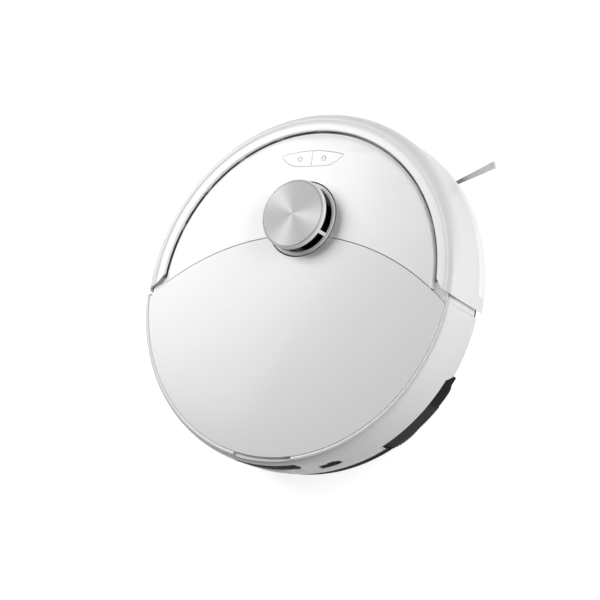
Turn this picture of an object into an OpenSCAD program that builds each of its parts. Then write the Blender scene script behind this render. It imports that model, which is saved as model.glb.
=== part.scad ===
// Robot vacuum with a laser turret, a lift-off lid and two spinning mop pads.
// Millimetres. +Z is up, +Y is the driving direction, +X is the right side.
// The origin lies on the floor, below the centre of the round body.

/* [Body] */
// Diameter of the round body
body_d = 350; // [348:1:354]
// Height of the flat top above the floor
body_h = 79.5; // [79.5:0.5:83]
// Clear height under the base
ground_gap = 8; // [7:0.5:8.5]
// Wall of the moulded shells
wall = 2.5; // [2:0.1:2.8]
// Thickness of the top panel and of the lid
cover_t = 2.5; // [2:0.1:2.8]
// Visible seam between two fixed covers
seam = 0.6; // [0.4:0.1:0.8]
// Depth of the frame deck below the flat top
deck_drop = 7.5; // [7.2:0.1:7.8]
// Radius of the shoulder at the top of the rear shell
shoulder_r = 7.4; // [7:0.1:7.8]
// Height of the lower edge of the bumper and of the rear shell
skirt_z = 18.4; // [17:0.2:20]
// Play left round a piece that is set into another
fit_gap = 0.2; // [0.1:0.05:0.3]
// Play left between two pieces that move past each other
move_gap = 0.4; // [0.35:0.05:0.5]
// Radial play of a shaft in its bore
run_gap = 0.05; // [0.03:0.01:0.08]

/* [Covers] */
// Distance from the body's edge to the edge of the front panel
panel_inset = 25.9; // [25:0.1:27]
// Width of the open groove between the panel and the bumper
groove_w = 4.5; // [4:0.1:5]
// Distance from the body's edge to the edge of the lid
lid_inset = 8; // [7.9:0.05:8.2]
// Radius of the lid's front edge
lid_front_r = 247; // [245:1:249]
// Forward reach of the lid's front edge
lid_front_y = 47; // [46:0.5:48]
// Width of the open gap between the bumper's end and the rear shell
bumper_end_gap = 5.8; // [5:0.1:6.5]
// Depth of the finger scoop behind the lid
scoop_depth = 5.5; // [4.5:0.5:6]
// Half angle that the finger scoop covers
scoop_half = 11; // [9:0.5:12]

/* [Bumper] */
// Travel of the bumper
bumper_travel = 3; // [2:0.5:3]
// Amount that the soft strip stands out of the bumper
strip_proud = 0.7; // [0.5:0.1:0.9]
// Height of the soft strip
strip_h = 14; // [11:1:15]
// Width of the front sensor window
window_w = 84; // [70:1:90]
// Height of the front sensor window
window_h = 20; // [16:1:22]

/* [Turret] */
// Height of the laser turret above the flat top
turret_h = 17; // [16.5:0.5:19]
// Radius of the turret's side wall
turret_r = 34.7; // [34:0.1:35.2]
// Place of the turret ahead of the body's centre
turret_y = 63.5; // [62:0.5:64]
// Radius of the hole that the turret stands in
turret_hole_r = 38; // [37.6:0.1:38.6]
// Radius of the metal disc on the turret
disc_r = 32.8; // [32.2:0.1:33]
// Height of the turret's open slots
slot_h = 9.7; // [8:0.1:10]
// Width of a post between two slots
post_w = 3.4; // [2.6:0.2:4]
// Number of posts
post_count = 4; // [3:1:6]
// Travel of the turret cover when something presses on it
turret_travel = 1.5; // [1:0.1:1.5]

/* [Buttons] */
// Travel of the two buttons
button_travel = 0.8; // [0.5:0.1:1]
// Radius of the buttons' front edge about the body's centre
button_front_r = 132.5; // [131.5:0.5:133]
// Depth of the button pair at its centre
button_depth = 15.5; // [14:0.5:16]
// Half width of the button pair
button_half_w = 35; // [33:0.5:36]

/* [Wheels] */
// Radius of a drive wheel
wheel_r = 34; // [33:0.5:34]
// Width of a drive wheel
wheel_w = 20; // [18:0.5:20]
// Distance from the body's centre to the middle of a drive wheel
wheel_x = 121; // [120.5:0.5:121.5]
// Distance from the wheel's axle to the arm's pivot
arm_l = 46; // [45:0.5:46.5]
// Angle through which a wheel drops when the body is lifted
droop = 25; // [20:1:25]
// Radius of the caster wheel
caster_r = 13; // [12:0.5:13]
// Place of the caster's swivel ahead of the body's centre
caster_y = 125; // [124:0.5:126]
// Distance that the caster wheel trails its swivel
caster_trail = 6; // [4:0.5:6]

/* [Brushes] */
// Radius of the main brush over its fins
brush_r = 20; // [19:0.5:20]
// Half length of the main brush
brush_half = 75.5; // [72:0.5:75.5]
// Place of the main brush ahead of the body's centre
brush_y = 24; // [23:0.5:25]
// Number of fins round the main brush
fin_count = 5; // [4:1:7]
// Place of the side brush to the right of the body's centre
side_x = 94; // [93:0.5:94]
// Place of the side brush ahead of the body's centre
side_y = 111; // [110:0.5:111]
// Reach of the side brush's bristles
side_reach = 72; // [66:0.5:72]
// Number of arms on the side brush
side_arms = 3; // [2:1:5]

/* [Mops] */
// Radius of a mop pad
mop_r = 62; // [60:0.5:62]
// Thickness of a mop pad
mop_t = 10; // [8:0.5:10]
// Distance from the body's centre line to a mop's axis
mop_x = 68; // [67.5:0.5:68]
// Distance that the mops' axes lie behind the body's centre
mop_y = 84; // [83:0.5:84]
// Travel of the mop lift
mop_lift = 8; // [6:0.5:8]

/* [Dust bin] */
// Width of the dust bin
bin_w = 91; // [85:1:92]
// Length of the dust bin
bin_l = 99; // [90:1:100]

/* [Hidden] */
$fn = 96;

body_r = body_d / 2;
big = body_d;
eps = 0.01;

// Levels, from the floor up
base_top = ground_gap + wall;
deck_top = body_h - deck_drop;
deck_low = deck_top - wall;
cover_low = body_h - cover_t;
ledge_top = cover_low - 0.3;
bay_low = mop_t + 5.5 + mop_lift;
bay_top = bay_low + wall;
notch_z = bay_top + 1;
tray_low = bay_top + 3 + 1 + mop_lift + 1.5;

// Radii of the covers and of the base
panel_r = body_r - panel_inset;
lip_r = panel_r + groove_w;
lid_r = body_r - lid_inset;
base_r = body_r - 10;
base_floor_r = base_r - 6;
chamfer_z = ground_gap + 7;
rear_base_r = body_r - 3.7;
bumper_r = body_r - strip_proud;
lid_front_c = lid_front_y - lid_front_r;

// Angles of the rear base and of the mop notches, measured below the X axis
notch_start = 24.3;
notch_split = 34.7;
notch_end = 57;

// The bumper's ends and the rear shell's ends, as lines on the top plane
end_x = body_r - 21.7;
end_y = 1.5;
end_slope = 0.553;
shell_slope = 0.34;

// Radius of the tongues inside the bumper's ends
tongue_r = bumper_r - wall - 1;
tongue_low = notch_z + 0.5;

// Turret levels
turret_top = body_h + turret_h;
slot_top = turret_top - 4.4;
slot_low = slot_top - slot_h;
skirt_low = deck_top + 1;
dish_low = deck_low - 7.5;
dish_floor = dish_low + wall;
dish_r = turret_hole_r + 2;
turret_in_r = turret_r - wall;
slot_in_r = turret_r - 1.2;
pulley_x = -50;
pulley_r = 5;
rotor_pulley_r = 24;
belt_low = dish_floor + 2.2;
belt_h = 2.6;
belt_t = 1;
stub_r = 9;

// Drive wheel modules
arm_t = 14;
arm_x = wheel_x - wheel_w / 2 - 2 - arm_t / 2;
pivot_y = arm_l;
pivot_z = wheel_r + 6;
pod_in = arm_x - arm_t / 2 - 2.5;
pod_out = wheel_x + wheel_w / 2 + 3.5;
pod_front = pivot_y + 11;
pod_rear = -wheel_r - 5;
pod_top = deck_low - 0.1;
axle_r = 3;

// Main brush
brush_z = brush_r + 1;
brush_pin_r = 4;
bay_half = brush_half + 2;
case_r = brush_r + 2;
case_half = case_r + 2.5;

// Side brush and its motor
side_shaft_r = 3;
side_hub_r = 11;
side_first = 23.8;
bristle_low = 1.5;

// Mop drives
spindle_r = 4;
gearbox_low = bay_top + 4;
gearbox_h = 20;
carriage_low = bay_top + 1;

gearbox_r = 18;
mop_bay_r = mop_r + 2;
mop_bay_out = mop_bay_r + 2;

// Battery
battery_x = -106;
battery_y = 60;
battery_l = 74;
battery_w = 48;
battery_h = 37;

// Charging contacts
contact_l = 20;
contact_w = 8;
contact_x = 30;
contact_y = 19 - body_r;

// Dust bin and its tray
bin_front = -34.5;
bin_rear = bin_front - bin_l;
bin_lid_z = deck_top - 2.5;
ledge_r = lid_r - 5;

// Air duct
duct_w = 56;
duct_h = 16;
duct_high = tray_low + 6;
duct_in = duct_w / 2 - wall;

// Blower
fan_r = 26;
fan_low = bay_top + 2;
fan_h = deck_low - fan_low - 3.5;
fan_reach = rear_base_r - fan_r - 3.9;
fan_x = -fan_reach * cos(33.5);
fan_y = -fan_reach * sin(33.5);
fan_shaft_r = 2;
blade_count = 9;

// Water tank, between two radii and two angles below the X axis
tank_r = rear_base_r - wall - 3;
tank_in_r = 122;
tank_first = notch_start + 1.7;
tank_last = 44;
tank_wall = 2;
tank_low = bay_top + 2;
tank_h = deck_low - tank_low - 5.5;

// Mop lift motor
lift_rear = 12 - body_r;
lift_front = bin_rear - 10.5;
lift_half = 34;

// Bumper switches
switch_angles = [32, 148];
switch_z = 46;

// Openings of the rear wall
refill_angle = 18;
strip_mid = skirt_z + 2 + strip_h / 2;
strip_start = 0.7;

// Section of the bumper's shoulder, an oval about a point inside
shoulder_in = lip_r + 9.4;
shoulder_a = bumper_r - shoulder_in;
shoulder_b = 15;

// Outline of the button pair
button_low_y = button_front_r - button_depth;
button_flat = 14;
button_tip_y = sqrt(pow(button_front_r, 2) - pow(button_half_w, 2));
button_rise = button_tip_y - button_low_y;
button_corner_r = (pow(button_half_w - button_flat, 2) + pow(button_rise, 2)) / (2 * button_rise);
button_corner_a = asin((button_half_w - button_flat) / button_corner_r);
button_tip_a = asin(button_half_w / button_front_r);

// Drive wheel rim
rim_r = wheel_r - 6;

// Caster
fork_low = 2 * caster_r + 1;
stem_r = 4;
caster_pin_r = 2;
caster_case_r = 24;

// Screws and sensors in the floor: places, and angles round the front
screw_places = [[-128, 80], [128, 80], [-26, 94], [40, 92], [-142, -20], [142, -20], [0, -60], [-60, 55]];
screw_r = 1.5;
screw_head_r = 3;
screw_head_h = 1.2;
cliff_places = [14, 75, 105, 166];

function arc(cx, cy, rx, ry, a0, a1, n) =
    [for (i = [0 : n]) let (a = a0 + (a1 - a0) * i / n) [cx + rx * cos(a), cy + ry * sin(a)]];

module at(x, y, z) {
    translate([x, y, z]) children();
}

// A sector of a disc, between two angles
module sector(r, a0, a1) {
    polygon(concat([[0, 0]], arc(0, 0, r, r, a0, a1, 12)));
}

module both_sides() {
    children();
    mirror([1, 0, 0]) children();
}

module ring(r_out, r_in, h) {
    difference() {
        cylinder(r = r_out, h = h);
        at(0, 0, -1) cylinder(r = r_in, h = h + 2);
    }
}

module box(x0, x1, y0, y1, z0, z1) {
    at(x0, y0, z0) cube([x1 - x0, y1 - y0, z1 - z0]);
}

// A cylinder along +X
module rod_x(r, x0, x1, y, z) {
    at(x0, y, z) rotate([0, 90, 0]) cylinder(r = r, h = x1 - x0);
}

// A cylinder along +Y
module rod_y(r, y0, y1, x, z) {
    at(x, y1, z) rotate([90, 0, 0]) cylinder(r = r, h = y1 - y0);
}

module lid_front_disc(extra) {
    at(0, lid_front_c, 0) circle(r = lid_front_r + extra, $fn = 240);
}

function bumper_end(x) = end_y - end_slope * (x - end_x);
function shell_end(x) = bumper_end(body_r) - bumper_end_gap + shell_slope * (body_r - x);

// The plan of all that lies ahead of the bumper's two ends
module bumper_plan() {
    polygon([
        [-big, bumper_end(big)], [-base_r / 2, bumper_end(base_r / 2)],
        [base_r / 2, bumper_end(base_r / 2)], [big, bumper_end(big)],
        [big, big], [-big, big]
    ]);
}

// The plan of all that lies behind the rear shell's two front ends
module shell_plan() {
    polygon([
        [-big, shell_end(big)], [-base_r / 2, shell_end(base_r / 2)],
        [base_r / 2, shell_end(base_r / 2)], [big, shell_end(big)],
        [big, -big], [-big, -big]
    ]);
}

// ---------------------------------------------------------------- base

module at_mops() {
    for (s = [-1, 1]) at(s * mop_x, -mop_y, 0) children();
}

module pod_plan() {
    for (s = [0, 1]) mirror([s, 0])
        at(pod_in, pod_rear, 0) square([pod_out - pod_in, pod_front - pod_rear]);
}

module rear_sector(r) {
    sector(r, 180 + notch_start, 360 - notch_start);
}

// The plan of the whole base: a tucked-in front, and a wider rear
module base_plan(inset) {
    circle(r = base_r - inset);
    intersection() {
        circle(r = rear_base_r - inset);
        rear_sector(big);
    }
}

// The sectors where the mop pads show below the rear shell
module notch_plan() {
    for (s = [0, 1]) mirror([s, 0])
        difference() {
            sector(big, -notch_end, -notch_split);
            circle(r = mop_y + mop_r / 2);
        }
}

module at_screws() {
    for (p = screw_places) at(p[0], p[1], 0) children();
}

module at_switches() {
    for (a = switch_angles) rotate([0, 0, a]) children();
}

module at_cliffs() {
    for (a = cliff_places) rotate([0, 0, a - 90]) at(0, base_r - 13, 0) children();
}

module contact_plan(play) {
    for (s = [-1, 1]) at(s * contact_x - contact_l / 2 - play, contact_y - play, 0)
        square([contact_l + 2 * play, contact_w + 2 * play]);
}

module battery_plan(play) {
    at(battery_x + play, battery_y + play, 0) square([battery_l - 2 * play, battery_w - 2 * play]);
}

module base_chassis() {
    color([0.10, 0.10, 0.11])
    difference() {
        union() {
            // Floor
            at(0, 0, ground_gap) cylinder(r = base_floor_r, h = wall);
            at(0, 0, ground_gap) linear_extrude(wall) intersection() {
                circle(r = rear_base_r - wall);
                rear_sector(big);
            }
            // Tall front wall and low rear wall
            at(0, 0, chamfer_z + wall) linear_extrude(deck_low - chamfer_z - wall) difference() {
                circle(r = base_r);
                circle(r = base_r - wall);
                sector(big, 180 + notch_start, 360 - notch_start);
            }
            at(0, 0, base_top - eps) linear_extrude(skirt_z - 0.4 - base_top) difference() {
                base_plan(0);
                base_plan(wall);
                sector(big, -notch_start, 180 + notch_start);
            }
            // Black blocks and ceilings of the mop bays
            at(0, 0, ground_gap) linear_extrude(bay_top - ground_gap) intersection() {
                base_plan(0);
                at_mops() circle(r = mop_bay_out);
            }
            at(0, 0, base_top - eps) linear_extrude(bay_top - base_top + eps) intersection() {
                base_plan(0);
                for (s = [0, 1]) mirror([s, 0]) difference() {
                    sector(big, -notch_end, -notch_start);
                    circle(r = mop_y + mop_r);
                }
            }
            // Screw posts and the posts that carry the frame deck
            intersection() {
                at_screws() at(0, 0, ground_gap + wall / 2) cylinder(r = screw_r + 2.7, h = 12);
                at(0, 0, ground_gap) linear_extrude(big) base_plan(wall);
            }
            for (s = [-1, 1]) {
                at(s * 56, -142, bay_top - eps) cylinder(r = 5, h = deck_low - bay_top + eps);
                at(s * 70, 4, base_top - eps) at(0, -22, 0) cylinder(r = 5, h = deck_low - base_top + eps);
            }
        }
        // Mop bays, open below and at the notches
        at_mops() at(0, 0, -eps) cylinder(r = mop_bay_r, h = bay_low);
        at_mops() at(0, 0, -eps) cylinder(r = spindle_r + 9, h = big);
        at(0, 0, -eps) linear_extrude(bay_low) notch_plan();
        // Shallow recess in each black block
        for (s = [0, 1]) mirror([s, 0, 0]) rotate([0, 0, -(notch_start + notch_split) / 2])
            box(rear_base_r - 2, big, -10, 12, ground_gap + 4, bay_top - 6);
        // Wheels, brush mouth, caster, side brush, battery
        at(0, 0, -eps) linear_extrude(base_top + 1) difference() {
            pod_plan();
            at_mops() circle(r = mop_bay_out);
        }
        box(-bay_half - wall - fit_gap, bay_half + wall + fit_gap, brush_y - case_half - fit_gap,
            brush_y + case_half + fit_gap, -1, base_top + 1);
        at(0, caster_y, -eps) cylinder(r = caster_case_r, h = base_top + 1);
        at(side_x, side_y, -eps) cylinder(r = side_hub_r + 1.5, h = base_top + 1);
        at(0, 0, -eps) linear_extrude(base_top + 1) battery_plan(0);
        // Sensor windows, charging contacts and screws
        at_cliffs() box(-8, 8, -5, 5, -1, base_top + 1);
        at(0, 0, -eps) linear_extrude(base_top + 1) contact_plan(fit_gap);
        at_screws() at(0, 0, -eps) cylinder(r = screw_r + fit_gap, h = ground_gap + 12);
        at_screws() at(0, 0, -eps) cylinder(r = screw_head_r + fit_gap, h = ground_gap + screw_head_h + fit_gap);
        // Plungers of the bumper switches
        at_switches() rod_x(2 + fit_gap, base_r - wall - 1, base_r + 1, 0, switch_z);
    }
}

// Chamfered rim round the front, between the floor and the front wall
module base_rim() {
    color([0.10, 0.10, 0.11])
    rotate([0, 0, -notch_start]) rotate_extrude(angle = 180 + 2 * notch_start) polygon([
        [base_floor_r, ground_gap], [base_r, chamfer_z], [base_r, chamfer_z + wall],
        [base_r - wall, chamfer_z + wall], [base_floor_r, base_top]
    ]);
}

module base_screws() {
    color([0.55, 0.56, 0.58])
    at_screws() {
        at(0, 0, ground_gap + fit_gap) difference() {
            cylinder(r = screw_head_r, h = screw_head_h - fit_gap);
            at(0, 0, -1) for (a = [0, 90]) rotate([0, 0, a]) box(-2, 2, -0.4, 0.4, 0, 1.6);
        }
        at(0, 0, ground_gap + screw_head_h - eps) cylinder(r = screw_r, h = 10);
    }
}

module cliff_sensors() {
    color([0.05, 0.05, 0.06])
    at_cliffs() difference() {
        box(-8 + fit_gap, 8 - fit_gap, -5 + fit_gap, 5 - fit_gap, ground_gap + 0.3, base_top + 5);
        for (s = [-1, 1]) at(s * 3.5, 0, ground_gap - 1) cylinder(r = 2.2, h = 3);
    }
}

module charging_contacts() {
    color([0.78, 0.74, 0.62])
    at(0, 0, ground_gap - 0.4) linear_extrude(wall + 2) contact_plan(0);
}

module battery() {
    color([0.16, 0.32, 0.55])
    at(0, 0, base_top + 0.5) linear_extrude(battery_h) difference() {
        battery_plan(2);
        // Grooves between the round cells inside
        for (i = [1 : 3], y = [62, 106])
            at(-104 + i * 17.5, y, 0) rotate(45) square(2, center = true);
    }
    color([0.12, 0.12, 0.13]) box(-76, -62, 76, 92, base_top + 0.5 + battery_h, base_top + 4 + battery_h);
}

module battery_cover() {
    color([0.12, 0.12, 0.13])
    difference() {
        at(0, 0, ground_gap) linear_extrude(wall) battery_plan(fit_gap);
        for (i = [0 : 5]) box(-98 + 11 * i, -94 + 11 * i, 66, 76, ground_gap - 1, ground_gap + 0.8);
        at(-69, 98, ground_gap - 1) cylinder(r = 3.2, h = 2.2);
    }
}

// ---------------------------------------------------------------- frame

module tray_plan(grow) {
    at(-bin_w / 2 - grow, bin_rear - grow, 0) square([bin_w + 2 * grow, bin_l + 2 * grow]);
}

// The plan of the sunken dish that the laser unit stands in
module dish_plan(inset) {
    at(0, turret_y, 0) circle(r = dish_r - inset);
    at(pulley_x, turret_y, 0) circle(r = pulley_r + 9 - inset);
    at(pulley_x, turret_y - pulley_r - 9 + inset, 0) square([-pulley_x, 2 * (pulley_r + 9 - inset)]);
}

module frame_deck() {
    color([0.78, 0.78, 0.80])
    difference() {
        union() {
            at(0, 0, deck_low) cylinder(r = base_r, h = wall);
            // Tub that the dust bin drops into
            at(0, 0, tray_low) linear_extrude(deck_low - tray_low + eps) tray_plan(wall);
        }
        at(0, 0, tray_low + 1.6) linear_extrude(big) tray_plan(0.5);
        at(0, 0, deck_low - 1) linear_extrude(wall + 2) dish_plan(-fit_gap);
        // Way in for the air duct
        box(-duct_in, duct_in, bin_front - 1, bin_front + 4, duct_high, duct_high + duct_h);
        // Lightening windows over the fan, the tank and the front bay
        for (s = [-1, 1]) at(s * 100, -72, deck_low - 1) cylinder(r = 15, h = wall + 2);
        for (s = [-1, 1]) at(s * 70, 118, deck_low - 1) cylinder(r = 12, h = wall + 2);
    }
}

function shell_profile() = concat(
    arc(body_r - shoulder_r, body_h - 0.2 - shoulder_r, shoulder_r, shoulder_r, 90, 0, 10),
    [[body_r, 30], [body_r - 0.4, 24], [body_r - 1.6, skirt_z]],
    [[body_r - 1.6 - wall, skirt_z], [body_r - wall - 0.2, 24], [body_r - wall, 30]],
    arc(body_r - shoulder_r, body_h - 0.2 - shoulder_r, shoulder_r - wall, shoulder_r - wall, 0, 50, 6),
    [[lid_r, ledge_top - wall], [ledge_r, ledge_top - wall], [ledge_r, ledge_top]],
    [[lid_r + seam, ledge_top], [lid_r + seam, body_h - 0.3]]
);

// The wide window at the rear, as seen from behind
module rear_window_face(inset) {
    polygon([
        [-34 + 2 * inset, 62.5], [-30 + inset, 69.5 - inset], [30 - inset, 69.5 - inset],
        [34 - 2 * inset, 62.5], [29 - inset, 56.5 + inset], [-29 + inset, 56.5 + inset]
    ]);
}

module refill_face(inset) {
    polygon([
        [-11 + inset, 43.5 + inset], [5 - inset, 43.5 + inset], [10.5 - inset, 46.5 + inset],
        [9 - inset, 52.5 - inset], [7 - inset, 52.5 - inset], [6 - inset, 54.5 - inset],
        [0, 54.5 - inset], [-1, 52.5 - inset], [-9 + inset, 52.5 - inset]
    ]);
}

// Stands a face drawn in X and Z at the rear wall, and gives it depth
module at_rear(angle, depth) {
    rotate([0, 0, angle]) at(0, -body_r + depth, 0) rotate([90, 0, 0]) linear_extrude(depth + 1) children();
}

module shell_solid() {
    difference() {
        intersection() {
            rotate([0, 0, 170]) rotate_extrude(angle = 200) polygon(shell_profile());
            linear_extrude(big) shell_plan();
        }
        // Raised lower edge from the mop notches to the bumper's ends
        at(0, 0, -eps) linear_extrude(notch_z) for (s = [0, 1]) mirror([s, 0])
            sector(big, -notch_end, 0);
        // Finger scoop behind the lid
        at(0, 0, body_h - scoop_depth) linear_extrude(big) difference() {
            sector(body_r - 4.3, 270 - scoop_half, 270 + scoop_half);
            circle(r = ledge_r - 1);
        }
    }
}

// Tongue that runs forward from the shell, inside the bumper's end, and closes the gap between them
module shell_tongue() {
    intersection() {
        rotate([0, 0, -14]) rotate_extrude(angle = 20) polygon(concat(
            [[tongue_r - 1.2, tongue_low], [tongue_r, tongue_low + 3]],
            arc(tongue_r - 9, body_h - 16, 9, 11.5, 0, 75, 6),
            arc(tongue_r - 9, body_h - 16, 7.2, 9.7, 75, 0, 6),
            [[tongue_r - 1.8, tongue_low + 3], [tongue_r - 3, tongue_low]]
        ));
        linear_extrude(big) at(0, shell_end(body_r) - 3, 0) square([big, end_y + 6 - shell_end(body_r) + 3]);
    }
    // Web that joins the tongue to the shell
    intersection() {
        rotate([0, 0, -14]) rotate_extrude(angle = 20) polygon([
            [tongue_r - 1.8, tongue_low + 3], [body_r - wall + 0.2, tongue_low + 6],
            [body_r - wall + 0.2, body_h - 20], [tongue_r - 1.8, body_h - 20]
        ]);
        linear_extrude(big) intersection() {
            shell_plan();
            at(0, shell_end(body_r) - 3, 0) square(big);
        }
    }
}

module rear_shell() {
    color([0.93, 0.93, 0.94]) {
        difference() {
            shell_solid();
            at_rear(0, 8) rear_window_face(0);
            at_rear(refill_angle, 8) refill_face(0);
        }
        both_sides() shell_tongue();
    }
}

// The piece of the rear wall, sunk a little, that fills one of its cut-outs
module window_pane(angle) {
    intersection() {
        at_rear(angle, 8) children();
        ring(body_r - 0.5, body_r - wall, big);
    }
}

module rear_window() {
    color([0.05, 0.05, 0.06]) window_pane(0) rear_window_face(0.15);
}

module refill_port() {
    color([0.08, 0.08, 0.09])
    difference() {
        window_pane(refill_angle) refill_face(0.15);
        rotate([0, 0, refill_angle]) rod_y(2.2, -big, -body_r + 2, -3, 48);
    }
}

// ---------------------------------------------------------------- covers

// Right half of the lens-shaped button pair, grown by an even amount
module button_half(grow, start_x) {
    polygon(concat(
        [[start_x, button_low_y - grow]],
        arc(button_flat, button_low_y + button_corner_r, button_corner_r + grow, button_corner_r + grow,
            -90, button_corner_a - 90, 8),
        arc(0, 0, button_front_r + grow, button_front_r + grow, 90.4 - button_tip_a,
            90 - asin(start_x / (button_front_r + grow)), 12)
    ));
}

module panel_plan() {
    difference() {
        circle(r = panel_r);
        lid_front_disc(seam);
        at(0, turret_y, 0) circle(r = turret_hole_r);
        for (s = [0, 1]) mirror([s, 0]) button_half(move_gap, 0);
    }
}

module top_panel() {
    color([0.95, 0.95, 0.96]) {
        at(0, 0, cover_low) linear_extrude(cover_t) panel_plan();
        // Skirt and posts that stand on the frame deck
        at(0, 0, deck_top) linear_extrude(cover_low - deck_top) {
            difference() {
                circle(r = panel_r);
                circle(r = panel_r - wall);
                lid_front_disc(seam);
            }
            for (p = [[-88, 70], [88, 70], [-52, 122], [52, 122]])
                at(p[0], p[1], 0) circle(r = 4);
        }
    }
}

module lid() {
    color([0.93, 0.93, 0.94]) {
        at(0, 0, cover_low) linear_extrude(cover_t) difference() {
            intersection() {
                circle(r = lid_r);
                lid_front_disc(0);
            }
            at(0, turret_y, 0) circle(r = turret_hole_r);
        }
        // Stiffening rib inside the rear ledge
        at(0, 0, cover_low - 3) linear_extrude(3) difference() {
            circle(r = ledge_r - 1.5);
            circle(r = ledge_r - 1.5 - wall);
            sector(big, -14, 194);
        }
        // Four magnet bosses
        for (s = [-1, 1], y = [-18, -112]) at(s * (y < -60 ? 92 : 118), y, deck_top + 0.6)
            cylinder(r = 5, h = cover_low - deck_top - 0.6);
    }
}

module button_cap() {
    at(0, 0, body_h - 2.2) linear_extrude(2.2) button_half(0, move_gap);
    at(13, button_low_y + 7, deck_top + button_travel + 0.4)
        cylinder(r = 2.5, h = body_h - 2.2 - deck_top - button_travel - 0.4);
}

module power_button() {
    color([0.95, 0.95, 0.96]) mirror([1, 0, 0]) button_cap();
}

module home_button() {
    color([0.95, 0.95, 0.96]) button_cap();
}

// ---------------------------------------------------------------- bumper

function bumper_profile() = concat(
    [[lip_r, body_h - 0.7], [lip_r + 0.8, body_h]],
    [[lip_r + 8, body_h], [lip_r + 8.7, body_h - 0.5]],
    arc(shoulder_in, body_h - 0.3 - shoulder_b, shoulder_a, shoulder_b, 90, 0, 12),
    [[bumper_r, skirt_z + 6], [bumper_r - 0.4, skirt_z + 3], [bumper_r - 1.7, skirt_z]],
    [[bumper_r - 1.7 - wall, skirt_z], [bumper_r - 0.3 - wall, skirt_z + 3], [bumper_r - wall, skirt_z + 6]],
    arc(shoulder_in, body_h - 0.3 - shoulder_b, shoulder_a - wall, shoulder_b - wall, 0, 90, 10),
    [[lip_r, body_h - 0.3 - wall]]
);

module bumper_solid() {
    intersection() {
        rotate([0, 0, -15]) rotate_extrude(angle = 210) polygon(bumper_profile());
        linear_extrude(big) bumper_plan();
    }
}

module bumper_window_face(inset) {
    at(0, 47, 0) difference() {
        square([window_w - 2 * inset, window_h - 2 * inset], center = true);
        for (sx = [-1, 1], sz = [-1, 1])
            at(sx * (window_w / 2 - inset), sz * (window_h / 2 - inset), 0) rotate(45) square(4, center = true);
    }
}

module at_front() {
    at(0, big, 0) rotate([90, 0, 0]) linear_extrude(big - base_r - 4) children();
}

module bumper() {
    color([0.94, 0.94, 0.95]) {
        difference() {
            bumper_solid();
            at_front() bumper_window_face(0);
        }
        // Feet under the lip that slide on the frame deck
        for (a = [22 : 17 : 158]) rotate([0, 0, a])
            box(lip_r + 1, lip_r + 5, -4, 4, deck_top + 0.3, body_h - wall - 0.2);
    }
}

module bumper_window() {
    color([0.04, 0.04, 0.05])
    intersection() {
        at_front() bumper_window_face(0.1);
        ring(bumper_r - 0.2, bumper_r - wall, big);
    }
}

module bumper_strip() {
    color([0.90, 0.90, 0.91])
    rotate([0, 0, strip_start]) rotate_extrude(angle = 180 - 2 * strip_start) polygon(concat(
        [[bumper_r - 0.4, skirt_z + 3], [bumper_r, skirt_z + 6], [bumper_r, strip_mid + strip_h / 2]],
        [for (p = arc(bumper_r, strip_mid, body_r - bumper_r, strip_h / 2, 75, -60, 8)) p]
    ));
}

module bumper_switches() {
    color([0.13, 0.13, 0.14])
    at_switches() {
        box(base_r - 18, base_r - wall - 0.3, -8, 8, switch_z - 6, switch_z + 6);
        // Plunger through the front wall
        rod_x(2, base_r - wall - 0.3 - eps, bumper_r - wall - bumper_travel - 1.2, 0, switch_z);
    }
}

// ---------------------------------------------------------------- turret and laser

module at_turret(z) {
    at(0, turret_y, z) children();
}

module slot_rings() {
    difference() {
        ring(turret_r + 4, turret_in_r - 4, slot_h);
        for (i = [0 : post_count - 1]) rotate([0, 0, 61.5 + i * 360 / post_count])
            box(0, big, -post_w / 2, post_w / 2, -1, slot_h + 1);
    }
}

module turret_cover() {
    color([0.93, 0.93, 0.94])
    at_turret(0) difference() {
        rotate_extrude() polygon([
            [turret_in_r, skirt_low], [turret_r, skirt_low], [turret_r, body_h - 2],
            [turret_r + 1.8, body_h - 1.2], [turret_r + 1.8, body_h + 0.4], [turret_r + 0.4, body_h + 1.1],
            [turret_r, slot_low], [turret_r - 0.2, slot_top], [disc_r + 0.6, turret_top - 0.3],
            [disc_r + 0.15, turret_top - 0.3], [disc_r + 0.15, turret_top - 1.3], [0, turret_top - 1.3],
            [0, turret_top - 3], [turret_in_r - 1.5, turret_top - 3], [slot_in_r, slot_top - 1],
            [slot_in_r, slot_low - 1], [turret_in_r, slot_low - 2.5]
        ]);
        at(0, 0, slot_low) slot_rings();
    }
}

module turret_disc() {
    color([0.80, 0.80, 0.81])
    at_turret(turret_top - 1.3) cylinder(r = disc_r, h = 1.3);
}

module coil(wire_r, coil_r, turns, h) {
    linear_extrude(height = h, twist = -360 * turns, slices = 12 * turns, $fn = 6)
        at(coil_r, 0, 0) circle(r = wire_r);
}

module turret_springs() {
    color([0.60, 0.61, 0.63])
    for (a = [0, 120, 240]) rotate_about_turret(a)
        at(turret_r - wall / 2, 0, dish_floor) coil(0.45, 1.7, 4, skirt_low - dish_floor);
}

module rotate_about_turret(a) {
    at_turret(0) rotate([0, 0, a]) children();
}

module lidar_base() {
    color([0.15, 0.15, 0.16])
    difference() {
        union() {
            at(0, 0, dish_low) linear_extrude(deck_top - dish_low) dish_plan(0);
            // Flange that rests on the deck
            at(0, 0, deck_top) linear_extrude(1.5) dish_plan(-3);
        }
        at(0, 0, dish_floor) linear_extrude(big) dish_plan(1.5);
        at(pulley_x, turret_y, dish_low - 1) cylinder(r = 1.6, h = wall + 2);
    }
    // Fixed post that the laser head turns on
    color([0.70, 0.70, 0.72]) at_turret(dish_floor) cylinder(r = stub_r, h = 8);
}

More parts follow.
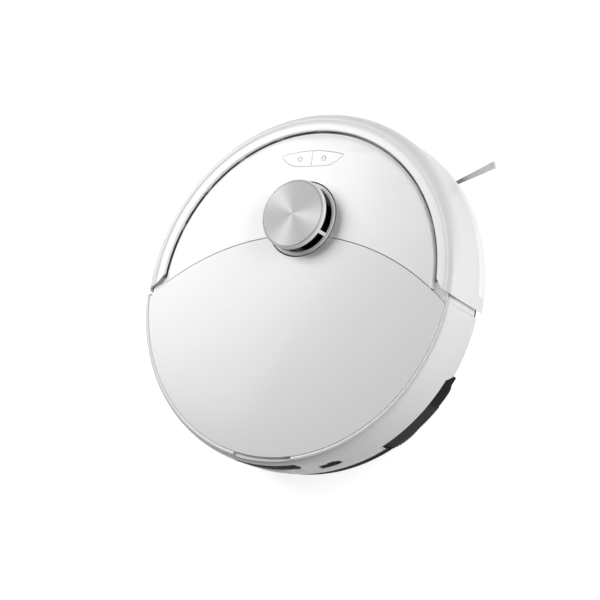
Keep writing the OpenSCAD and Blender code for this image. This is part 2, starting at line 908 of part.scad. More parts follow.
module lidar_head() {
    color([0.07, 0.07, 0.08])
    difference() {
        at_turret(0) rotate_extrude() polygon([
            [stub_r + run_gap, belt_low - 1], [rotor_pulley_r + 1.5, belt_low - 1],
            [rotor_pulley_r + 1.5, belt_low - 0.2], [rotor_pulley_r, belt_low - 0.2],
            [rotor_pulley_r, belt_low + belt_h + 0.2], [rotor_pulley_r + 1.5, belt_low + belt_h + 0.2],
            [rotor_pulley_r + 1.5, belt_low + belt_h + 1], [22, skirt_low + 0.6],
            [28, slot_low - 3], [28, slot_top - 1.4], [26.5, slot_top - 0.6],
            [0, slot_top - 0.6], [0, dish_floor + 9], [stub_r + run_gap, dish_floor + 9]
        ]);
        // Barrels of the emitter and the receiver
        for (s = [-1, 1]) rod_y(5.5, turret_y + 16, turret_y + 40, s * 10, slot_low + 4);
    }
    // Lenses
    color([0.25, 0.10, 0.20]) for (s = [-1, 1])
        rod_y(5.2, turret_y + 15, turret_y + 19, s * 10, slot_low + 4);
}

module lidar_motor() {
    color([0.62, 0.63, 0.65])
    at(pulley_x, turret_y, dish_low - 12) difference() {
        union() {
            cylinder(r = 10, h = 12);
            at(0, 0, -1.5) cylinder(r = 4, h = 2);
        }
        at(0, 0, 3) cylinder(r = 1 + run_gap, h = 10);
    }
}

module lidar_pulley() {
    color([0.20, 0.20, 0.22])
    at(pulley_x, turret_y, 0) rotate_extrude() polygon([
        [0, dish_low - 8], [1, dish_low - 8], [1, belt_low - 0.9], [pulley_r + 1, belt_low - 0.9],
        [pulley_r + 1, belt_low - 0.2], [pulley_r, belt_low - 0.2], [pulley_r, belt_low + belt_h + 0.2],
        [pulley_r + 1, belt_low + belt_h + 0.2], [pulley_r + 1, belt_low + belt_h + 0.9],
        [0, belt_low + belt_h + 0.9]
    ]);
}

module belt_plan(grow) {
    hull() {
        at(0, turret_y, 0) circle(r = rotor_pulley_r + grow, $fn = 48);
        at(pulley_x, turret_y, 0) circle(r = pulley_r + grow, $fn = 32);
    }
}

module lidar_belt() {
    color([0.05, 0.05, 0.05])
    at(0, 0, belt_low) linear_extrude(belt_h) difference() {
        belt_plan(move_gap + belt_t);
        belt_plan(move_gap);
    }
}

// ---------------------------------------------------------------- drive wheels

module wheel_housings() {
    color([0.14, 0.14, 0.15])
    both_sides() difference() {
        box(pod_in + fit_gap, pod_out - fit_gap, pod_rear + fit_gap, pod_front - fit_gap, ground_gap + 0.5, pod_top);
        box(pod_in + 1.6, pod_out - 1.6, pod_rear + 1.6, pod_front - 1.6, -1, pod_top - 1);
        rod_x(axle_r + run_gap, pod_in - 1, pod_in + 3, pivot_y, pivot_z);
        // Hollow that clears the mop bay
        at_mops() at(0, 0, -1) cylinder(r = mop_bay_out + fit_gap, h = bay_top + fit_gap + 1);
    }
}

module arm() {
    color([0.24, 0.24, 0.26]) {
        difference() {
            union() {
                hull() {
                    rod_x(12, arm_x - arm_t / 2, arm_x + arm_t / 2, 0, wheel_r);
                    rod_x(9, arm_x - arm_t / 2, arm_x + arm_t / 2, pivot_y, pivot_z);
                }
                // Motor can along the arm
                rod_y(6.5, 4, pivot_y - 8, arm_x, pivot_z + 9);
            }
            rod_x(axle_r + run_gap, arm_x - big, arm_x + big, 0, wheel_r);
        }
        // Pivot pin, held in the housing's wall
        rod_x(axle_r, pod_in + 0.2, arm_x, pivot_y, pivot_z);
    }
}

module right_arm() {
    arm();
}

module left_arm() {
    mirror([1, 0, 0]) arm();
}

module rim() {
    color([0.80, 0.80, 0.82])
    difference() {
        union() {
            rod_x(rim_r, wheel_x - wheel_w / 2 + 1, wheel_x + wheel_w / 2 - 1, 0, wheel_r);
            rod_x(axle_r, arm_x - arm_t / 2 + 1, wheel_x, 0, wheel_r);
        }
        // Dished faces with spokes between
        for (s = [0, 1]) at(wheel_x, 0, 0) mirror([s, 0, 0]) difference() {
            rod_x(rim_r - 2.5, 3, wheel_w, 0, wheel_r);
            rod_x(axle_r + 4, 0, wheel_w + 1, 0, wheel_r);
            for (i = [0 : 4]) at(0, 0, wheel_r) rotate([i * 72, 0, 0]) box(0, wheel_w / 2 - 3, -1.5, 1.5, 0, rim_r);
        }
    }
}

module tyre() {
    color([0.12, 0.12, 0.13])
    at(wheel_x - wheel_w / 2, 0, wheel_r) rotate([90, 0, 90]) difference() {
        rotate_extrude() polygon([
            [rim_r, 0.5], [wheel_r - 1.5, 0], [wheel_r, 1.5], [wheel_r, wheel_w - 1.5],
            [wheel_r - 1.5, wheel_w], [rim_r, wheel_w - 0.5]
        ]);
        // Tread grooves across the tyre
        for (i = [0 : 35]) rotate([0, 0, i * 10 + 5]) box(wheel_r - 2.2, wheel_r + 1, -0.9, 0.9, -1, wheel_w + 1);
    }
}

module right_rim() {
    rim();
}

module left_rim() {
    mirror([1, 0, 0]) rim();
}

module right_tyre() {
    tyre();
}

module left_tyre() {
    mirror([1, 0, 0]) tyre();
}

// ---------------------------------------------------------------- caster

module caster_socket() {
    color([0.14, 0.14, 0.15])
    at(0, caster_y, 0) difference() {
        union() {
            at(0, 0, ground_gap + 0.5) cylinder(r = caster_case_r - fit_gap, h = fork_low + 8 - ground_gap);
            at(0, 0, fork_low + 8) cylinder(r = 9, h = 9);
        }
        at(0, 0, -1) cylinder(r = caster_case_r - 2, h = fork_low + 6.5);
        cylinder(r = stem_r + run_gap, h = fork_low + 15);
    }
}

module caster_fork() {
    color([0.30, 0.30, 0.32])
    at(0, caster_y, 0) difference() {
        union() {
            at(0, 0, fork_low) cylinder(r = 15, h = 4);
            at(0, 0, fork_low) cylinder(r = stem_r, h = 14);
            for (s = [-1, 1]) {
                box(s * 9.25 - 1.25, s * 9.25 + 1.25, -caster_trail - 7, 4, caster_r, fork_low + 1);
                rod_x(5, s * 9.25 - 1.25, s * 9.25 + 1.25, -caster_trail, caster_r);
            }
        }
        rod_x(caster_pin_r + run_gap, -20, 20, -caster_trail, caster_r);
    }
}

module caster_wheel() {
    color([0.85, 0.85, 0.86])
    at(0, caster_y - caster_trail, caster_r) rotate([90, 0, 90]) {
        rotate_extrude() polygon([
            [0, -7], [caster_r - 3, -7], [caster_r - 0.8, -5.5], [caster_r, -3],
            [caster_r, 3], [caster_r - 0.8, 5.5], [caster_r - 3, 7], [0, 7]
        ]);
        at(0, 0, -10.4) cylinder(r = caster_pin_r, h = 20.8);
    }
}

// ---------------------------------------------------------------- main brush

// The outline of the brush's case, drawn in Y and Z about the brush's axis
module case_outline() {
    intersection() {
        union() {
            circle(r = case_half);
            at(-case_half, -brush_z, 0) square([2 * case_half, brush_z + 8]);
        }
        at(-big, ground_gap - brush_z, 0) square(2 * big);
    }
}

module case_plan() {
    difference() {
        case_outline();
        circle(r = case_r);
        at(-case_r, -brush_z, 0) square([2 * case_r, brush_z]);
    }
}

module along_brush(x0, x1) {
    at(x0, brush_y, brush_z) rotate([90, 0, 90]) linear_extrude(x1 - x0) children();
}

module brush_housing() {
    color([0.22, 0.22, 0.24])
    difference() {
        union() {
            along_brush(-bay_half, bay_half) case_plan();
            for (s = [0, 1]) mirror([s, 0, 0]) along_brush(bay_half, bay_half + wall) case_outline();
        }
        rod_x(brush_pin_r + run_gap, -big, big, brush_y, brush_z);
        // Suction slot into the air duct
        box(-duct_in, duct_in, brush_y - case_half - 1, brush_y - case_r + 8,
            brush_z + 2, brush_z + 16);
    }
}

module brush_guard() {
    color([0.16, 0.16, 0.17])
    difference() {
        box(-bay_half - 7, bay_half + 7, brush_y - case_half - 4, brush_y + case_half + 4, ground_gap - 1, ground_gap);
        box(-bay_half + 1, bay_half - 1, brush_y - case_r + 1, brush_y + case_r - 1, 0, big);
        // Thumb notches of the two latches
        for (s = [-1, 1]) at(s * 50, brush_y + case_half + 4, 0) cylinder(r = 3, h = big);
    }
}

module brush_motor() {
    color([0.60, 0.61, 0.63]) {
        rod_x(12, 26, bay_half + wall + 0.5, 66, brush_z + 6);
    }
    // Gear case that carries the drive to the brush's end
    color([0.18, 0.18, 0.20]) difference() {
        box(bay_half + wall + 0.5, pod_in - 0.6, 12, 79, 13, 45);
        rod_x(brush_pin_r + run_gap, 0, big, brush_y, brush_z);
    }
}

module main_brush_core() {
    color([0.30, 0.30, 0.32]) {
        rod_x(9, -brush_half, brush_half, brush_y, brush_z);
        rod_x(brush_pin_r, -brush_half - 4, bay_half + wall + 2.5, brush_y, brush_z);
    }
}

module fin_star() {
    for (i = [0 : fin_count - 1]) rotate(i * 360 / fin_count)
        at(8.8, -1, 0) square([brush_r - 8.8, 2]);
}

module main_brush_fins() {
    color([0.20, 0.20, 0.21])
    for (s = [0, 1]) mirror([s, 0, 0])
        at(0, brush_y, brush_z) rotate([90, 0, 90]) difference() {
            linear_extrude(height = brush_half - 1, twist = 80, slices = 10, $fn = 12) fin_star();
            at(0, 0, -1) cylinder(r = 9, h = brush_half + 1, $fn = 96);
        }
}

// ---------------------------------------------------------------- side brush

module side_brush_motor() {
    color([0.16, 0.16, 0.17])
    at(side_x, side_y, base_top + 3.5) difference() {
        union() {
            cylinder(r = 11.4, h = 16);
            at(-18, -8, 0) cylinder(r = 8, h = 26);
            at(-18, -6, 0) cube([18, 8, 16]);
        }
        at(0, 0, -1) cylinder(r = side_shaft_r + run_gap, h = 14);
    }
}

module side_brush() {
    color([0.30, 0.30, 0.31])
    at(side_x, side_y, 0) {
        at(0, 0, bristle_low + 3.4) cylinder(r = side_hub_r, h = 7);
        at(0, 0, bristle_low + 3.4) cylinder(r = side_shaft_r, h = base_top + 12 - bristle_low);
        // One soft arm for each tuft
        for (i = [0 : side_arms - 1]) rotate([0, 0, side_first + i * 360 / side_arms]) {
            box(6, side_hub_r + 17, -3.2, 3.2, bristle_low + 2, bristle_low + 4.5);
        }
    }
}

module side_brush_bristles() {
    color([0.62, 0.62, 0.64])
    at(side_x, side_y, bristle_low) for (i = [0 : side_arms - 1])
        rotate([0, 0, side_first + i * 360 / side_arms]) linear_extrude(2) polygon([
            [side_hub_r + 6, -1.6], [side_reach, -4.2], [side_reach, 4.2], [side_hub_r + 6, 1.6]
        ]);
}

// ---------------------------------------------------------------- mops

module mop_carriage() {
    color([0.20, 0.20, 0.22])
    at(0, 0, carriage_low) linear_extrude(3) difference() {
        at(-mop_x - gearbox_r, -mop_y - 14, 0) square([2 * (mop_x + gearbox_r), 28]);
        at_mops() circle(r = spindle_r + 3);
        at(0, -mop_y, 0) square([50, 12], center = true);
    }
}

module mop_gearboxes() {
    color([0.15, 0.15, 0.16])
    at_mops() difference() {
        union() {
            at(0, 0, gearbox_low) cylinder(r = gearbox_r, h = gearbox_h);
            at(0, 26, gearbox_low) cylinder(r = 9, h = gearbox_h + 8);
            at(-7, 0, gearbox_low) cube([14, 26, 14]);
        }
        at(0, 0, gearbox_low - 1) cylinder(r = spindle_r + run_gap, h = gearbox_h + 2);
    }
}

module mop_plate(side) {
    color([0.08, 0.08, 0.09])
    at(side * mop_x, -mop_y, 0) {
        at(0, 0, mop_t) cylinder(r = mop_r - 3, h = 3);
        at(0, 0, mop_t + 3 - eps) cylinder(r = spindle_r + 5, h = 2);
        at(0, 0, mop_t + 5 - 2 * eps) cylinder(r = spindle_r, h = gearbox_low + gearbox_h - mop_t - 4.5);
        at(0, 0, gearbox_low + gearbox_h + 0.4) cylinder(r = spindle_r + 1.5, h = 1.2);
    }
}

module left_mop_plate() {
    mop_plate(-1);
}

module right_mop_plate() {
    mop_plate(1);
}

module mop_pad(side) {
    color([0.19, 0.19, 0.20])
    at(side * mop_x, -mop_y, 0) rotate_extrude() polygon(concat(
        [[0, 0]],
        arc(mop_r - 3, 3, 3, 3, -90, 0, 5),
        arc(mop_r - 3, mop_t - 3, 3, 3, 0, 90, 5),
        [[0, mop_t]]
    ));
}

module left_mop_pad() {
    mop_pad(-1);
}

module right_mop_pad() {
    mop_pad(1);
}

module lift_motor() {
    color([0.60, 0.61, 0.63])
    at(0, 0, bay_top + 1.5) {
        box(-lift_half, lift_half, lift_rear, lift_front, 0, 20);
        at(0, lift_front + 2, 0) cylinder(r = 5, h = 12);
    }
}

// ---------------------------------------------------------------- dust bin and air path

module dust_bin() {
    color([0.35, 0.36, 0.38])
    difference() {
        at(0, 0, tray_low + 2) linear_extrude(deck_top + 1 - tray_low - 2) tray_plan(0);
        at(0, 0, tray_low + 4) linear_extrude(bin_lid_z - tray_low - 4) tray_plan(-2);
        box(-duct_in, duct_in, bin_front - 3, bin_front + 3, duct_high, duct_high + duct_h);
        // Well for the filter, open at the rear of the top
        box(-36, 36, bin_rear + 6, bin_rear + 26, bin_lid_z - 1, deck_top + 2);
        // Finger hollow of the handle
        at(0, -62, deck_top - 1) linear_extrude(4) square([44, 14], center = true);
    }
}

module bin_filter() {
    color([0.90, 0.90, 0.88])
    difference() {
        box(-35.5, 35.5, bin_rear + 6.5, bin_rear + 25.5, deck_top - 14, deck_top + 0.8);
        for (i = [-8 : 8]) box(i * 4 - 0.9, i * 4 + 0.9, bin_rear + 8.5, bin_rear + 23.5, deck_top - 4, deck_top + 2);
    }
}

module bin_latch() {
    color([0.80, 0.30, 0.15])
    box(-9, 9, bin_front - 10, bin_front - 4, deck_top + 1.4, deck_top + 3.4);
}

module duct_section(x, y, z, h) {
    at(0, y, z + h / 2) rotate([90, 0, 0]) linear_extrude(eps) square([x, h], center = true);
}

module air_duct() {
    color([0.22, 0.22, 0.24])
    difference() {
        hull() {
            duct_section(duct_w, brush_y - case_half - fit_gap - eps, brush_z - 1, 20);
            duct_section(duct_w, bin_front + wall + 2, duct_high - wall, duct_h + 2 * wall);
        }
        hull() {
            duct_section(duct_w - 2 * wall, brush_y - case_half + 1, brush_z + 2, 14);
            duct_section(duct_w - 2 * wall, bin_front + wall, duct_high, duct_h);
        }
    }
}

module blower_housing() {
    color([0.20, 0.20, 0.22])
    at(fan_x, fan_y, fan_low) {
        difference() {
            cylinder(r = fan_r, h = fan_h);
            at(0, 0, 2) cylinder(r = fan_r - 2, h = fan_h - 4);
            at(0, 0, fan_h / 2) cylinder(r = fan_r / 2, h = fan_h);
        }
        // Motor below the impeller, with its fixed shaft
        at(0, 0, 2 - eps) cylinder(r = 14, h = 9);
        cylinder(r = fan_shaft_r, h = fan_h - 5);
    }
}

module blower_impeller() {
    color([0.75, 0.75, 0.77])
    at(fan_x, fan_y, fan_low + 12) difference() {
        union() {
            cylinder(r = 22, h = 1.6);
            cylinder(r = 5.5, h = 18);
            for (i = [0 : blade_count - 1]) rotate([0, 0, i * 360 / blade_count]) intersection() {
                at(13, -8, 0) ring(15, 13.8, 14);
                box(4, 22, -1, 15, 0, 14);
                cylinder(r = 21.5, h = 14);
            }
        }
        at(0, 0, -1) cylinder(r = fan_shaft_r + run_gap, h = 30);
    }
}

module water_tank() {
    color([0.70, 0.74, 0.78])
    difference() {
        at(0, 0, tank_low) linear_extrude(tank_h) difference() {
            sector(tank_r, -tank_last, -tank_first);
            circle(r = tank_in_r);
        }
        at(0, 0, tank_low + tank_wall) linear_extrude(tank_h - 2 * tank_wall) difference() {
            sector(tank_r - tank_wall, 1 - tank_last, -1 - tank_first);
            circle(r = tank_in_r + tank_wall);
        }
    }
}

// ---------------------------------------------------------------- electronics

module main_board() {
    color([0.08, 0.32, 0.18])
    difference() {
        box(8, 78, 54, 97, 47.5, 49);
        for (x = [12, 74], y = [58, 93]) at(x, y, 40) cylinder(r = 1.6, h = 20);
    }
    // Chips, capacitors and plugs
    color([0.07, 0.07, 0.08]) for (p = [[26, 66, 14], [48, 70, 10], [60, 84, 8], [30, 86, 8]])
        box(p[0] - p[2] / 2, p[0] + p[2] / 2, p[1] - p[2] / 2, p[1] + p[2] / 2, 49, 51);
}

module speaker() {
    color([0.10, 0.10, 0.11])
    at(-62, 126, base_top) difference() {
        union() {
            cylinder(r = 14, h = 12);
            at(0, 0, 12) cylinder(r = 8, h = 5);
        }
        at(0, 0, -1) cylinder(r = 11, h = 4);
    }
}

base_chassis();
base_rim();
frame_deck();
rear_shell();
top_panel();
rear_window();
refill_port();
cliff_sensors();
charging_contacts();
base_screws();
brush_housing();
brush_guard();
brush_motor();
side_brush_motor();
wheel_housings();
caster_socket();
battery();
battery_cover();
main_board();
blower_housing();
blower_impeller();
air_duct();
water_tank();
dust_bin();
bin_filter();
bin_latch();
lidar_base();
lidar_motor();
lidar_belt();
lidar_pulley();
lidar_head();
turret_springs();
turret_cover();
turret_disc();
speaker();
bumper_switches();
lift_motor();
bumper();
bumper_strip();
bumper_window();
lid();
power_button();
home_button();
left_arm();
right_arm();
left_rim();
right_rim();
left_tyre();
right_tyre();
caster_fork();
caster_wheel();
main_brush_core();
main_brush_fins();
side_brush();
side_brush_bristles();
mop_carriage();
mop_gearboxes();
left_mop_plate();
right_mop_plate();
left_mop_pad();
right_mop_pad();
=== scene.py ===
"""The looks of a robot vacuum, built round its packed construction model."""

import logging
import math
from dataclasses import dataclass
from enum import Enum
from typing import Any, Callable, Iterable, Sequence

import bmesh
import bpy
import numpy as np
from mathutils import Matrix, Vector


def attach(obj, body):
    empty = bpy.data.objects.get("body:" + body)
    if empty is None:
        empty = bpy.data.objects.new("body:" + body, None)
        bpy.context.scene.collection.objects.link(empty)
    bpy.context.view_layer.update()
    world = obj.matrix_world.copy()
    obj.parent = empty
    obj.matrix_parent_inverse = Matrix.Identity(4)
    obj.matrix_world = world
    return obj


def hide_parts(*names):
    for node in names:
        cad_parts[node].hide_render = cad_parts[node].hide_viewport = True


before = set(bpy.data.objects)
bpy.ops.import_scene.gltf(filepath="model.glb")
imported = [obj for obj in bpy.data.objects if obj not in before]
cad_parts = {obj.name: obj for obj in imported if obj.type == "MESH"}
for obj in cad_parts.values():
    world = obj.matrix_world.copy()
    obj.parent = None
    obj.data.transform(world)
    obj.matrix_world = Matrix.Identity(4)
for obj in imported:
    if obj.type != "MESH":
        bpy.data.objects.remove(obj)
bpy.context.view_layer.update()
NODES: dict[str, bpy.types.Object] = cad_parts
MM = 0.001
Outline = list[tuple[float, float]]
Colour = tuple[float, float, float]
Ends = Callable[[float], tuple[float, float]]
GLOSS = 0.12  # roughness of the clear coats
PALE_DUST: Colour = (0.42, 0.41, 0.39)
SOIL: Colour = (0.33, 0.32, 0.30)
GILT: Colour = (0.72, 0.60, 0.30)
log = logging.getLogger("robot_vacuum")


def add_node(tree: bpy.types.NodeTree, kind: str, settings: dict[str, Any] | None = None,
             inputs: dict[Any, Any] | None = None) -> bpy.types.Node:
    """Adds a node to any tree.

    Args: tree: where it goes. kind: its type. settings: its properties, set first. inputs:
        values, sockets or wires for its sockets, by name or number.
    Returns: the node.
    """
    made = tree.nodes.new(kind)
    for key, value in (settings or {}).items():
        setattr(made, key, value)
    for key, value in (inputs or {}).items():
        value = value.socket if isinstance(value, Wire) else value
        if isinstance(value, bpy.types.NodeSocket):
            tree.links.new(value, made.inputs[key])
        else:
            made.inputs[key].default_value = value
    return made


# ------------------------------------------------------------ shader tools


class Wire:
    """A value in a material's node tree, on which sums can be written."""

    def __init__(self, paint: "Paint", socket: bpy.types.NodeSocket) -> None:
        """Args: paint: the material being made. socket: the output wrapped."""
        self.paint = paint
        self.socket = socket

    def math(self, kind: str, other: Any = None, flip: bool = False) -> "Wire":
        """Adds a Math node on this value and another, which comes first where flip is set."""
        values = [self] if other is None else ([other, self] if flip else [self, other])
        return self.paint.node("ShaderNodeMath", {"operation": kind}, dict(enumerate(values)))

    def __add__(self, other: Any) -> "Wire":
        """This value plus another."""
        return self.math("ADD", other)

    def __sub__(self, other: Any) -> "Wire":
        """This value less another."""
        return self.math("SUBTRACT", other)

    def __rsub__(self, other: Any) -> "Wire":
        """Another value less this one."""
        return self.math("SUBTRACT", other, flip=True)

    def __mul__(self, other: Any) -> "Wire":
        """This value times another."""
        return self.math("MULTIPLY", other)

    def __pow__(self, other: Any) -> "Wire":
        """This value raised to a power."""
        return self.math("POWER", other)

    __radd__ = __add__
    __rmul__ = __mul__

    def within(self, low: float, high: float, soft: float) -> "Wire":
        """A mask that is 1 between low and high, and fades over the width soft."""
        return self.rise(low, soft) * (1 - self.rise(high, soft))

    def rise(self, edge: float, soft: float) -> "Wire":
        """A smooth step.

        Args: edge: where it is one half. soft: its width.
        Returns: 0 below the edge and 1 above it.
        """
        return self.paint.node(
            "ShaderNodeMapRange",
            {"interpolation_type": "SMOOTHSTEP"},
            {"Value": self, "From Min": edge - soft / 2, "From Max": edge + soft / 2},
        )


class Paint:
    """One material and the tools that wire it."""

    def __init__(self, name: str) -> None:
        """Args: name: the material's name."""
        self.material = bpy.data.materials.new(name)
        self.material.use_nodes = True
        self.tree = self.material.node_tree
        self.tree.nodes.clear()
        self._parts: tuple[Wire, Wire, Wire] | None = None
        self._place: Wire | None = None

    def node(self, kind: str, settings: dict[str, Any] | None = None,
             inputs: dict[Any, Any] | None = None, output: Any = 0) -> Wire:
        """Adds a node of one kind with its settings and inputs, and gives one of its outputs."""
        return Wire(self, add_node(self.tree, kind, settings, inputs).outputs[output])

    def place(self) -> Wire:
        """The point on the piece's own coordinates.

        Returns: it, in metres.
        """
        if self._place is None:
            self._place = self.node("ShaderNodeTexCoord", output="Object")
        return self._place

    def parts(self) -> tuple[Wire, Wire, Wire]:
        """The point's three coordinates.

        Returns: X, Y and Z, in millimetres.
        """
        if self._parts is None:
            made = add_node(self.tree, "ShaderNodeSeparateXYZ", {}, {0: self.place()})
            self._parts = tuple(Wire(self, made.outputs[i]) * 1000.0 for i in range(3))
        return self._parts

    def polar(self, centre: tuple[float, float]) -> tuple[Wire, Wire]:
        """The point's radius and angle about an upright line.

        Args: centre: the line's X and Y, in millimetres.
        Returns: the radius in millimetres, and the angle in radians.
        """
        x, y, _ = self.parts()
        dx, dy = x - centre[0], y - centre[1]
        return (dx * dx + dy * dy) ** 0.5, dy.math("ARCTAN2", dx)

    def noise(self, scale: float, detail: float = 2.0, rough: float = 0.5,
              stretch: tuple[float, float, float] = (1, 1, 1)) -> Wire:
        """Cloudy noise on the piece's own coordinates.

        Args: scale: cells per metre. detail, rough: its fineness. stretch: its scale by axis.
        Returns: a value from 0 to 1.
        """
        where = self.place()
        if stretch != (1, 1, 1):
            where = self.node("ShaderNodeMapping", {}, {"Vector": where, "Scale": stretch})
        return self.node("ShaderNodeTexNoise", {},
                         {"Vector": where, "Scale": scale, "Detail": detail, "Roughness": rough})

    def grain(self, cell: float = 2500.0) -> Wire:
        """A moulding's fine texture, from 0 to 1, with that many cells per metre."""
        return self.noise(cell, 3.0, 0.6)

    def cloud(self) -> Wire:
        """Broad faint patches of gloss, from 0 to 1."""
        return self.noise(22.0, 3.0, 0.55)

    def streaks(self, along: Wire, scale: float, detail: float) -> Wire:
        """Noise from 0 to 1 that changes along one value only, with scale cells per unit."""
        return self.node("ShaderNodeTexNoise", {"noise_dimensions": "1D"},
                         {"W": along, "Scale": scale, "Detail": detail})

    def blend(self, share: Wire | float, low: Any, high: Any) -> Wire:
        """Mixes two colours or wires: a share of 0 gives low and 1 gives high."""
        low, high = (value if isinstance(value, Wire) else (*value, 1) for value in (low, high))
        return self.node("ShaderNodeMix", {"data_type": "RGBA"}, {0: share, 6: low, 7: high}, 2)

    def bump(self, height: Wire, depth: float, under: Wire | None = None) -> Wire:
        """Turns a height into a normal.

        Args: height: from 0 to 1. depth: its depth in millimetres. under: a normal that it
            adds to.
        Returns: the normal.
        """
        inputs: dict[Any, Any] = {"Height": height, "Distance": depth * MM, "Strength": 1.0}
        if under is not None:
            inputs["Normal"] = under
        return self.node("ShaderNodeBump", {}, inputs)

    def finish(self, **sockets: Any) -> bpy.types.Material:
        """Adds the surface shader and its output.

        Args: sockets: its sockets' values or wires, with _ for a space.
        Returns: the material.
        """
        inputs = {key.replace("_", " "): value for key, value in sockets.items()}
        surface = self.node("ShaderNodeBsdfPrincipled", {}, inputs)
        add_node(self.tree, "ShaderNodeOutputMaterial", {}, {"Surface": surface})
        return self.material


def scaled(colour: Colour, share: float) -> Colour:
    """A colour made darker or lighter by a share."""
    return tuple(min(1, c * share) for c in colour)


# ---------------------------------------------------------------- finishes


@dataclass(frozen=True)
class Moulded:
    """Moulded plastic: fine grain, faint clouds of gloss and a little dust.

    Attributes: name: the finish. colour: its colour. rough: its roughness. coat: its clear coat.
        grain: depth of its texture in millimetres. cell: texture cells per metre.
        cloud: how far its gloss varies. dust: how far pale dust shows. shine: strength of its
        mirror reflection.
    """

    name: str
    colour: Colour
    rough: float
    coat: float = 0.0
    grain: float = 0.01
    cell: float = 2500.0
    cloud: float = 0.05
    dust: float = 0.0
    shine: float = 0.5

    def paint(self) -> bpy.types.Material:
        """Makes the material.

        Returns: the material.
        """
        p = Paint(self.name)
        grain, cloud = p.grain(self.cell), p.cloud()
        colour = p.blend(cloud * 0.5, self.colour, scaled(self.colour, 0.975))
        if self.dust:
            speck = p.noise(900.0, 4.0, 0.7).rise(0.66, 0.16) * p.noise(30.0, 2.0).rise(0.5, 0.3)
            colour = p.blend(speck * self.dust, colour, PALE_DUST)
        return p.finish(
            Base_Color=colour,
            Roughness=cloud * self.cloud + (self.rough - self.cloud / 2),
            Specular_IOR_Level=self.shine,
            Coat_Weight=self.coat,
            Coat_Roughness=GLOSS,
            Normal=p.bump(grain, self.grain),
        )


@dataclass(frozen=True)
class ShadeBanded:
    """Moulded plastic painted lighter inside a distance from the machine's middle and darker outside it:
    painted light on the bumper's top band, painted shade on its wall.

    Attributes: name: the finish. inner, outer: the painted light of the top band and the painted
    shade of the wall. r: where they meet, in millimetres. blend: width of the change. rough: its
    roughness. grain: depth of its texture in millimetres.
    """

    name: str
    inner: Colour
    outer: Colour
    r: float
    blend: float
    rough: float = 0.38
    grain: float = 0.004

    def paint(self) -> bpy.types.Material:
        """Makes the material.

        Returns: the material.
        """
        p = Paint(self.name)
        # Painted light and shade: inside r the lighter inner colour, outside it the darker outer colour.
        far = p.polar((0, 0))[0].rise(self.r, self.blend)
        cloud = p.cloud()
        return p.finish(
            Base_Color=p.blend(far, self.inner, self.outer),
            Roughness=cloud * 0.05 + (self.rough - 0.025),
            Coat_Weight=0.1,
            Coat_Roughness=GLOSS,
            Normal=p.bump(p.grain(), self.grain),
        )


@dataclass(frozen=True)
class Metal:
    """Plain or plated metal with drawn lines.

    Attributes: name: the finish. colour: its colour. rough: its roughness.
        stretch: scale of its lines by axis. mark: how far scuffs show.
    """

    name: str
    colour: Colour
    rough: float
    stretch: tuple[float, float, float] = (1, 1, 12)
    mark: float = 0.12

    def paint(self) -> bpy.types.Material:
        """Makes the material.

        Returns: the material.
        """
        p = Paint(self.name)
        lines = p.noise(700.0, 3.0, 0.6, self.stretch)
        scuff = p.noise(160.0, 5.0, 0.7).rise(0.6, 0.2)
        colour = p.blend(scuff * self.mark, self.colour, scaled(self.colour, 0.6))
        return p.finish(
            Base_Color=colour,
            Metallic=1.0,
            Roughness=lines * 0.14 + (scuff * self.mark + (self.rough - 0.07)),
            Normal=p.bump(lines, 0.01),
        )


@dataclass(frozen=True)
class Turned:
    """Aluminium brushed in rings, with soft fans of painted highlight and painted shade in its colour.

    Attributes: name: the finish. colour: its colour. centre: the rings' centre in millimetres.
        fans: (angle in degrees, share) of each painted highlight fan. narrow: how tight each fan is.
    """

    name: str
    colour: Colour
    centre: tuple[float, float]
    fans: tuple[tuple[float, float], ...]
    narrow: float = 22.0

    def paint(self) -> bpy.types.Material:
        """Makes the material.

        Returns: the material.
        """
        p = Paint(self.name)
        radius, angle = p.polar(self.centre)
        # Painted highlights: bright fans in the base colour at set angles stand in for the light the disc
        # reflects.
        light: Wire | None = None
        for degrees, share in self.fans:
            ray = ((angle - math.radians(degrees)).math("COSINE") * 0.5 + 0.5) ** self.narrow * share
            light = ray if light is None else light + ray
        ring = p.streaks(radius, 7.0, 4.0)
        level = light * 0.62 + 0.16 + (ring - 0.5) * 0.2
        # The painted shade that the colour falls to between the fans.
        shade = scaled(self.colour, 0.52)
        return p.finish(
            Base_Color=p.blend(level, shade, self.colour),
            Metallic=0.2,
            Roughness=ring * 0.16 + 0.42,
            Specular_IOR_Level=0.3,
            Normal=p.bump(ring, 0.004),
        )


@dataclass(frozen=True)
class Rubber:
    """Soft rubber, matt, with scuffs and dust where it is used.

    Attributes: name: the finish. colour: its colour. rough: its roughness. dust: how far dust shows.
    """

    name: str
    colour: Colour
    rough: float = 0.7
    dust: float = 0.25

    def paint(self) -> bpy.types.Material:
        """Makes the material.

        Returns: the material.
        """
        p = Paint(self.name)
        cell = p.noise(1800.0, 4.0, 0.65)
        patch = p.noise(60.0, 4.0, 0.6).rise(0.52, 0.25)
        colour = p.blend(patch * self.dust * cell, self.colour, SOIL)
        return p.finish(
            Base_Color=colour,
            Roughness=patch * 0.12 + (self.rough - 0.06),
            Normal=p.bump(cell, 0.03),
        )


